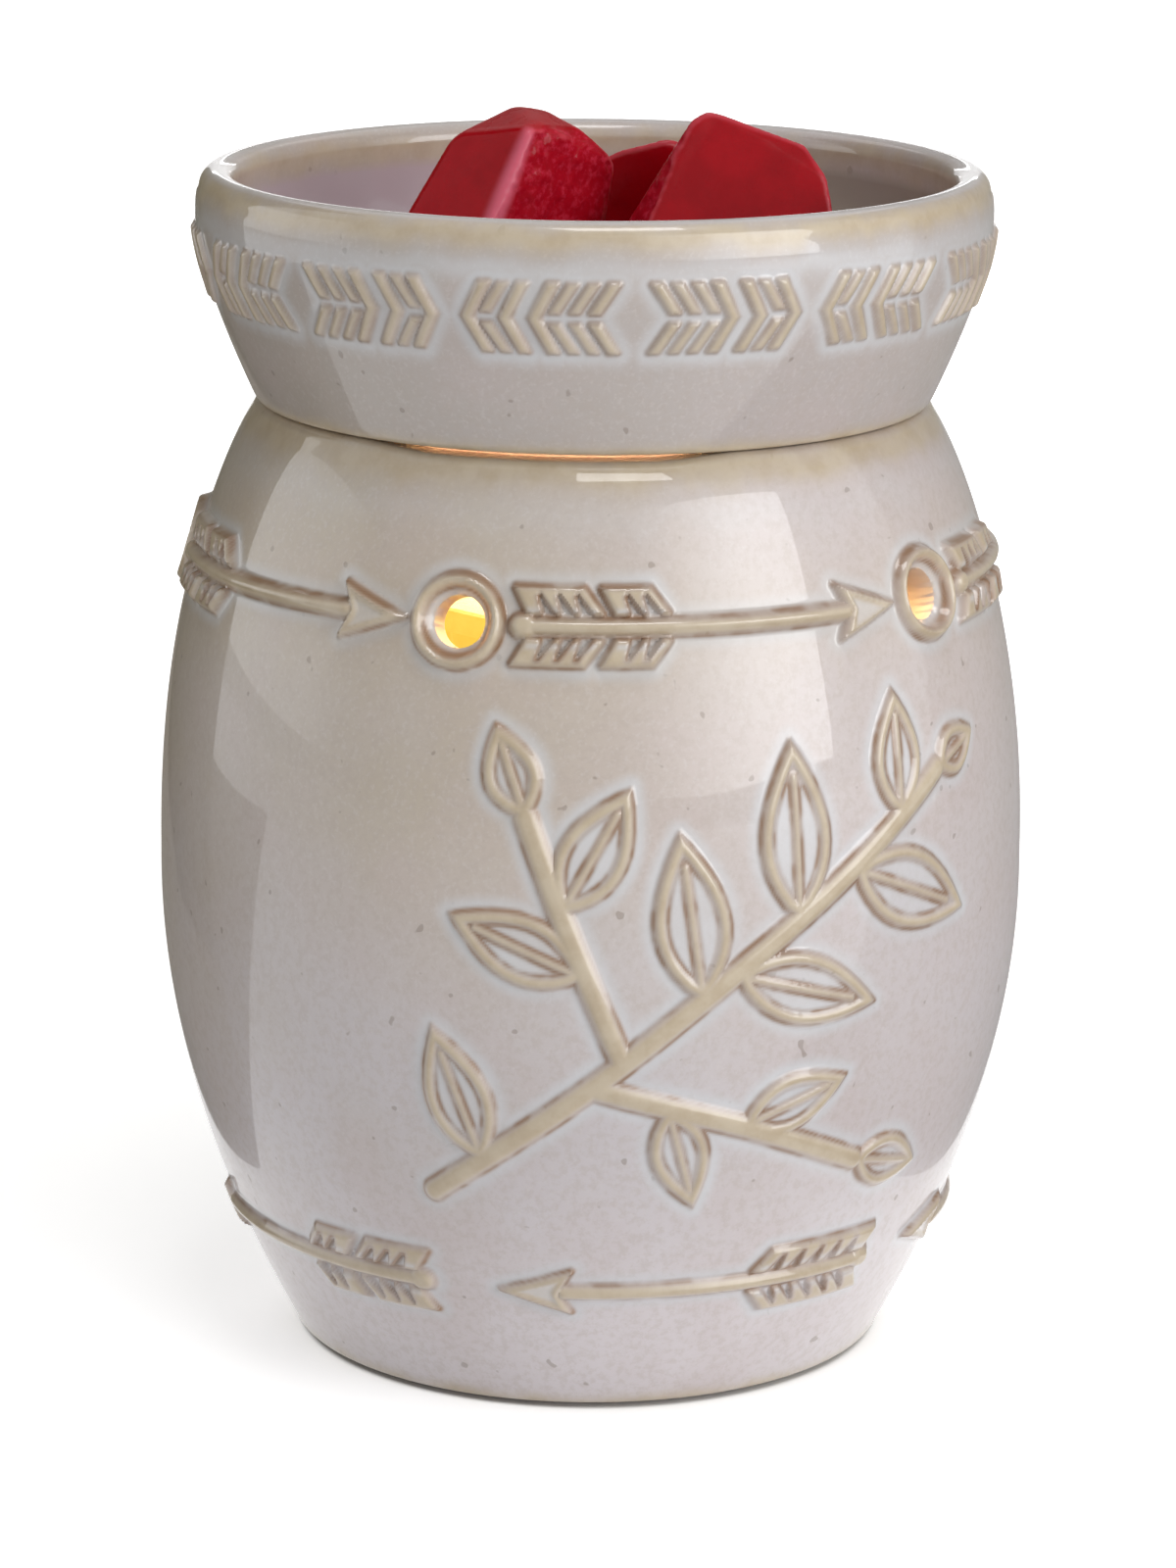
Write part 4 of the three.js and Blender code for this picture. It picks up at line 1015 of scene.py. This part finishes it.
def make_floor():
    """Pale floor that also glows a little to what sees it, as a lit studio floor does."""
    mesh = bmesh.new()
    bmesh.ops.create_grid(mesh, x_segments=8, y_segments=8, size=3.0)
    data = bpy.data.meshes.new("floor")
    mesh.to_mesh(data)
    mesh.free()
    obj = new_object("floor", data)
    n = Nodes("floor")
    n.set(Roughness=0.9, Specular_IOR_Level=0.1, Base_Color=(0.86, 0.86, 0.86, 1))
    glow = n.add("ShaderNodeEmission")
    glow.inputs["Color"].default_value = (1, 1, 1, 1)
    path = n.add("ShaderNodeLightPath")
    seen = n.math("ADD", path.outputs["Is Camera Ray"], path.outputs["Is Glossy Ray"])
    seen = n.math("ADD", seen, path.outputs["Is Transmission Ray"])
    # No glow under the lamp's foot, which paints a contact shadow there, and more glow far from the lamp
    away = n.add("ShaderNodeVectorMath", operation="LENGTH")
    n.link(n.position(), away.inputs[0])
    under = n.remap(away.outputs["Value"], *FOOT_SHADE_R)
    spread = n.remap(away.outputs["Value"], 0.12, 0.5, *FLOOR_GLOW)
    n.link(n.math("MULTIPLY", n.math("MULTIPLY", seen, under), spread), glow.inputs["Strength"])
    both = n.add("ShaderNodeAddShader")
    n.link(n.shader.outputs["BSDF"], both.inputs[0])
    n.link(glow.outputs["Emission"], both.inputs[1])
    n.link(both.outputs["Shader"], n.out.inputs["Surface"])
    data.materials.append(n.material)


make_floor()

# Lights


def area_light(name, at, target, size, power):
    data = bpy.data.lights.new(name, "AREA")
    data.shape = "RECTANGLE"
    data.size, data.size_y = size
    data.energy = power
    obj = new_object(name, data)
    obj.location = at
    obj.rotation_euler = (Vector(target) - Vector(at)).to_track_quat("-Z", "Y").to_euler()
    return obj


# Half the lamp's height
LAMP_MIDDLE = 0.08


def soft_box(name, turns, heights, away, power, fade):
    """Upright soft box that the glaze mirrors as in the photograph.

    It lies between two turns from the camera and between two heights, both in degrees, and its
    light changes between the two shares of its width that fade gives.
    """
    turn = math.radians(sum(turns) / 2 + CAMERA_TURN)
    low, high = (away * math.tan(math.radians(h)) for h in heights)
    width = 2 * away * math.tan(math.radians(abs(turns[1] - turns[0]) / 2))
    at = Vector((away * math.sin(turn), -away * math.cos(turn), (low + high) / 2 + LAMP_MIDDLE))
    lamp = area_light(name, at, (0, 0, at.z), (width, high - low), power).data
    lamp.use_nodes = True
    tree = lamp.node_tree
    across = tree.nodes.new("ShaderNodeSeparateXYZ")
    tree.links.new(tree.nodes.new("ShaderNodeNewGeometry").outputs["Parametric"], across.inputs[0])
    rise = tree.nodes.new("ShaderNodeMapRange")
    rise.interpolation_type = "SMOOTHSTEP"
    rise.inputs["From Min"].default_value, rise.inputs["From Max"].default_value = fade
    tree.links.new(across.outputs["X"], rise.inputs["Value"])
    tree.links.new(rise.outputs["Result"], tree.nodes["Emission"].inputs["Strength"])


soft_box("left_box", (-118, -66), (0, 26), 1.5, 3.0, (1.0, 0.6))
soft_box("right_box", (-5, 65), (0, 38), 1.4, 29.5, (0.2, 0.8))
area_light("top_box", (0, -0.4, 1.6), (0, 0, 0.1), (0.6, 0.5), 6.5)
area_light("back_box", (0.5, 1.5, 0.75), (0, 0, LAMP_MIDDLE), (0.9, 0.7), 7)

# Boards out of view, in [right, away, up] seen from the camera

BOARD_FAR, BOARD_TOP = 0.9, 0.45
UPRIGHT_Z, LYING_Z = 0.002, 0.001


def upright(right, near):
    """Corners of a board that stands beside the lamp and starts at near."""
    return [(right, near, UPRIGHT_Z), (right, near, BOARD_TOP),
            (right, BOARD_FAR, BOARD_TOP), (right, BOARD_FAR, UPRIGHT_Z)]


def lying(start, end, near):
    """Corners of a board that lies just over the floor from one side to the other."""
    return [(start, near, LYING_Z), (start, BOARD_FAR, LYING_Z),
            (end, BOARD_FAR, LYING_Z), (end, near, LYING_Z)]


def flag(name, corners, color, shades=True):
    """Board that the glaze mirrors. One that shades also keeps the studio's pale light off the
    lamp from its side."""
    turn = Matrix.Rotation(math.radians(CAMERA_TURN), 4, "Z")
    data = bpy.data.meshes.new(name)
    data.from_pydata([turn @ Vector(corner) for corner in corners], [], [(0, 1, 2, 3)])
    obj = new_object(name, data)
    obj.data.materials.append(matte_material(name, color, tuple(c * 0.9 for c in color), 0.8, 3))
    obj.visible_camera = False
    obj.visible_shadow = False
    obj.visible_diffuse = shades


flag("left_flag", upright(-0.2, 0.055), (0.13, 0.115, 0.07))
flag("left_floor_flag", lying(-0.6, -0.08, 0.0), (0.30, 0.27, 0.22), False)
flag("right_floor_flag", lying(0.08, 0.6, -0.1), (0.50, 0.48, 0.48), False)
flag("right_flag", upright(0.2, 0.0), (0.72, 0.70, 0.67))
flag("back_flag", [(-0.4, 1.0, 0.34), (-0.4, 1.0, 1.1), (0.4, 1.0, 1.1), (0.4, 1.0, 0.34)],
     (0.25, 0.24, 0.22))

# The bulb's light and the world


def make_bulb_light():
    """The bulb's own light, over its front glass. The glaze doesn't mirror it."""
    data = bpy.data.lights.new("bulb_light", "POINT")
    data.energy = 0.65
    data.color = (1.0, 0.68, 0.3)
    data.shadow_soft_size = 0.012
    obj = new_object("bulb_light", data)
    obj.location = (0, 0, 0.112)
    obj.visible_glossy = False


make_bulb_light()


def make_world():
    """White to what sees it, and a dimmer light on the scene."""
    world = bpy.data.worlds.new("studio")
    bpy.context.scene.world = world
    world.use_nodes = True
    tree = world.node_tree
    background = tree.nodes["Background"]
    background.inputs["Color"].default_value = (1, 1, 1, 1)
    path = tree.nodes.new("ShaderNodeLightPath")
    seen = path.outputs["Is Camera Ray"]
    for ray in ("Is Glossy Ray", "Is Transmission Ray"):
        either = tree.nodes.new("ShaderNodeMath")
        either.operation = "MAXIMUM"
        tree.links.new(seen, either.inputs[0])
        tree.links.new(path.outputs[ray], either.inputs[1])
        seen = either.outputs[0]
    shown = tree.nodes.new("ShaderNodeMapRange")
    tree.links.new(seen, shown.inputs["Value"])
    shown.inputs["To Min"].default_value = 0.28
    shown.inputs["To Max"].default_value = 1.0
    tree.links.new(shown.outputs["Result"], background.inputs["Strength"])


make_world()
bpy.context.scene.view_settings.view_transform = "Standard"
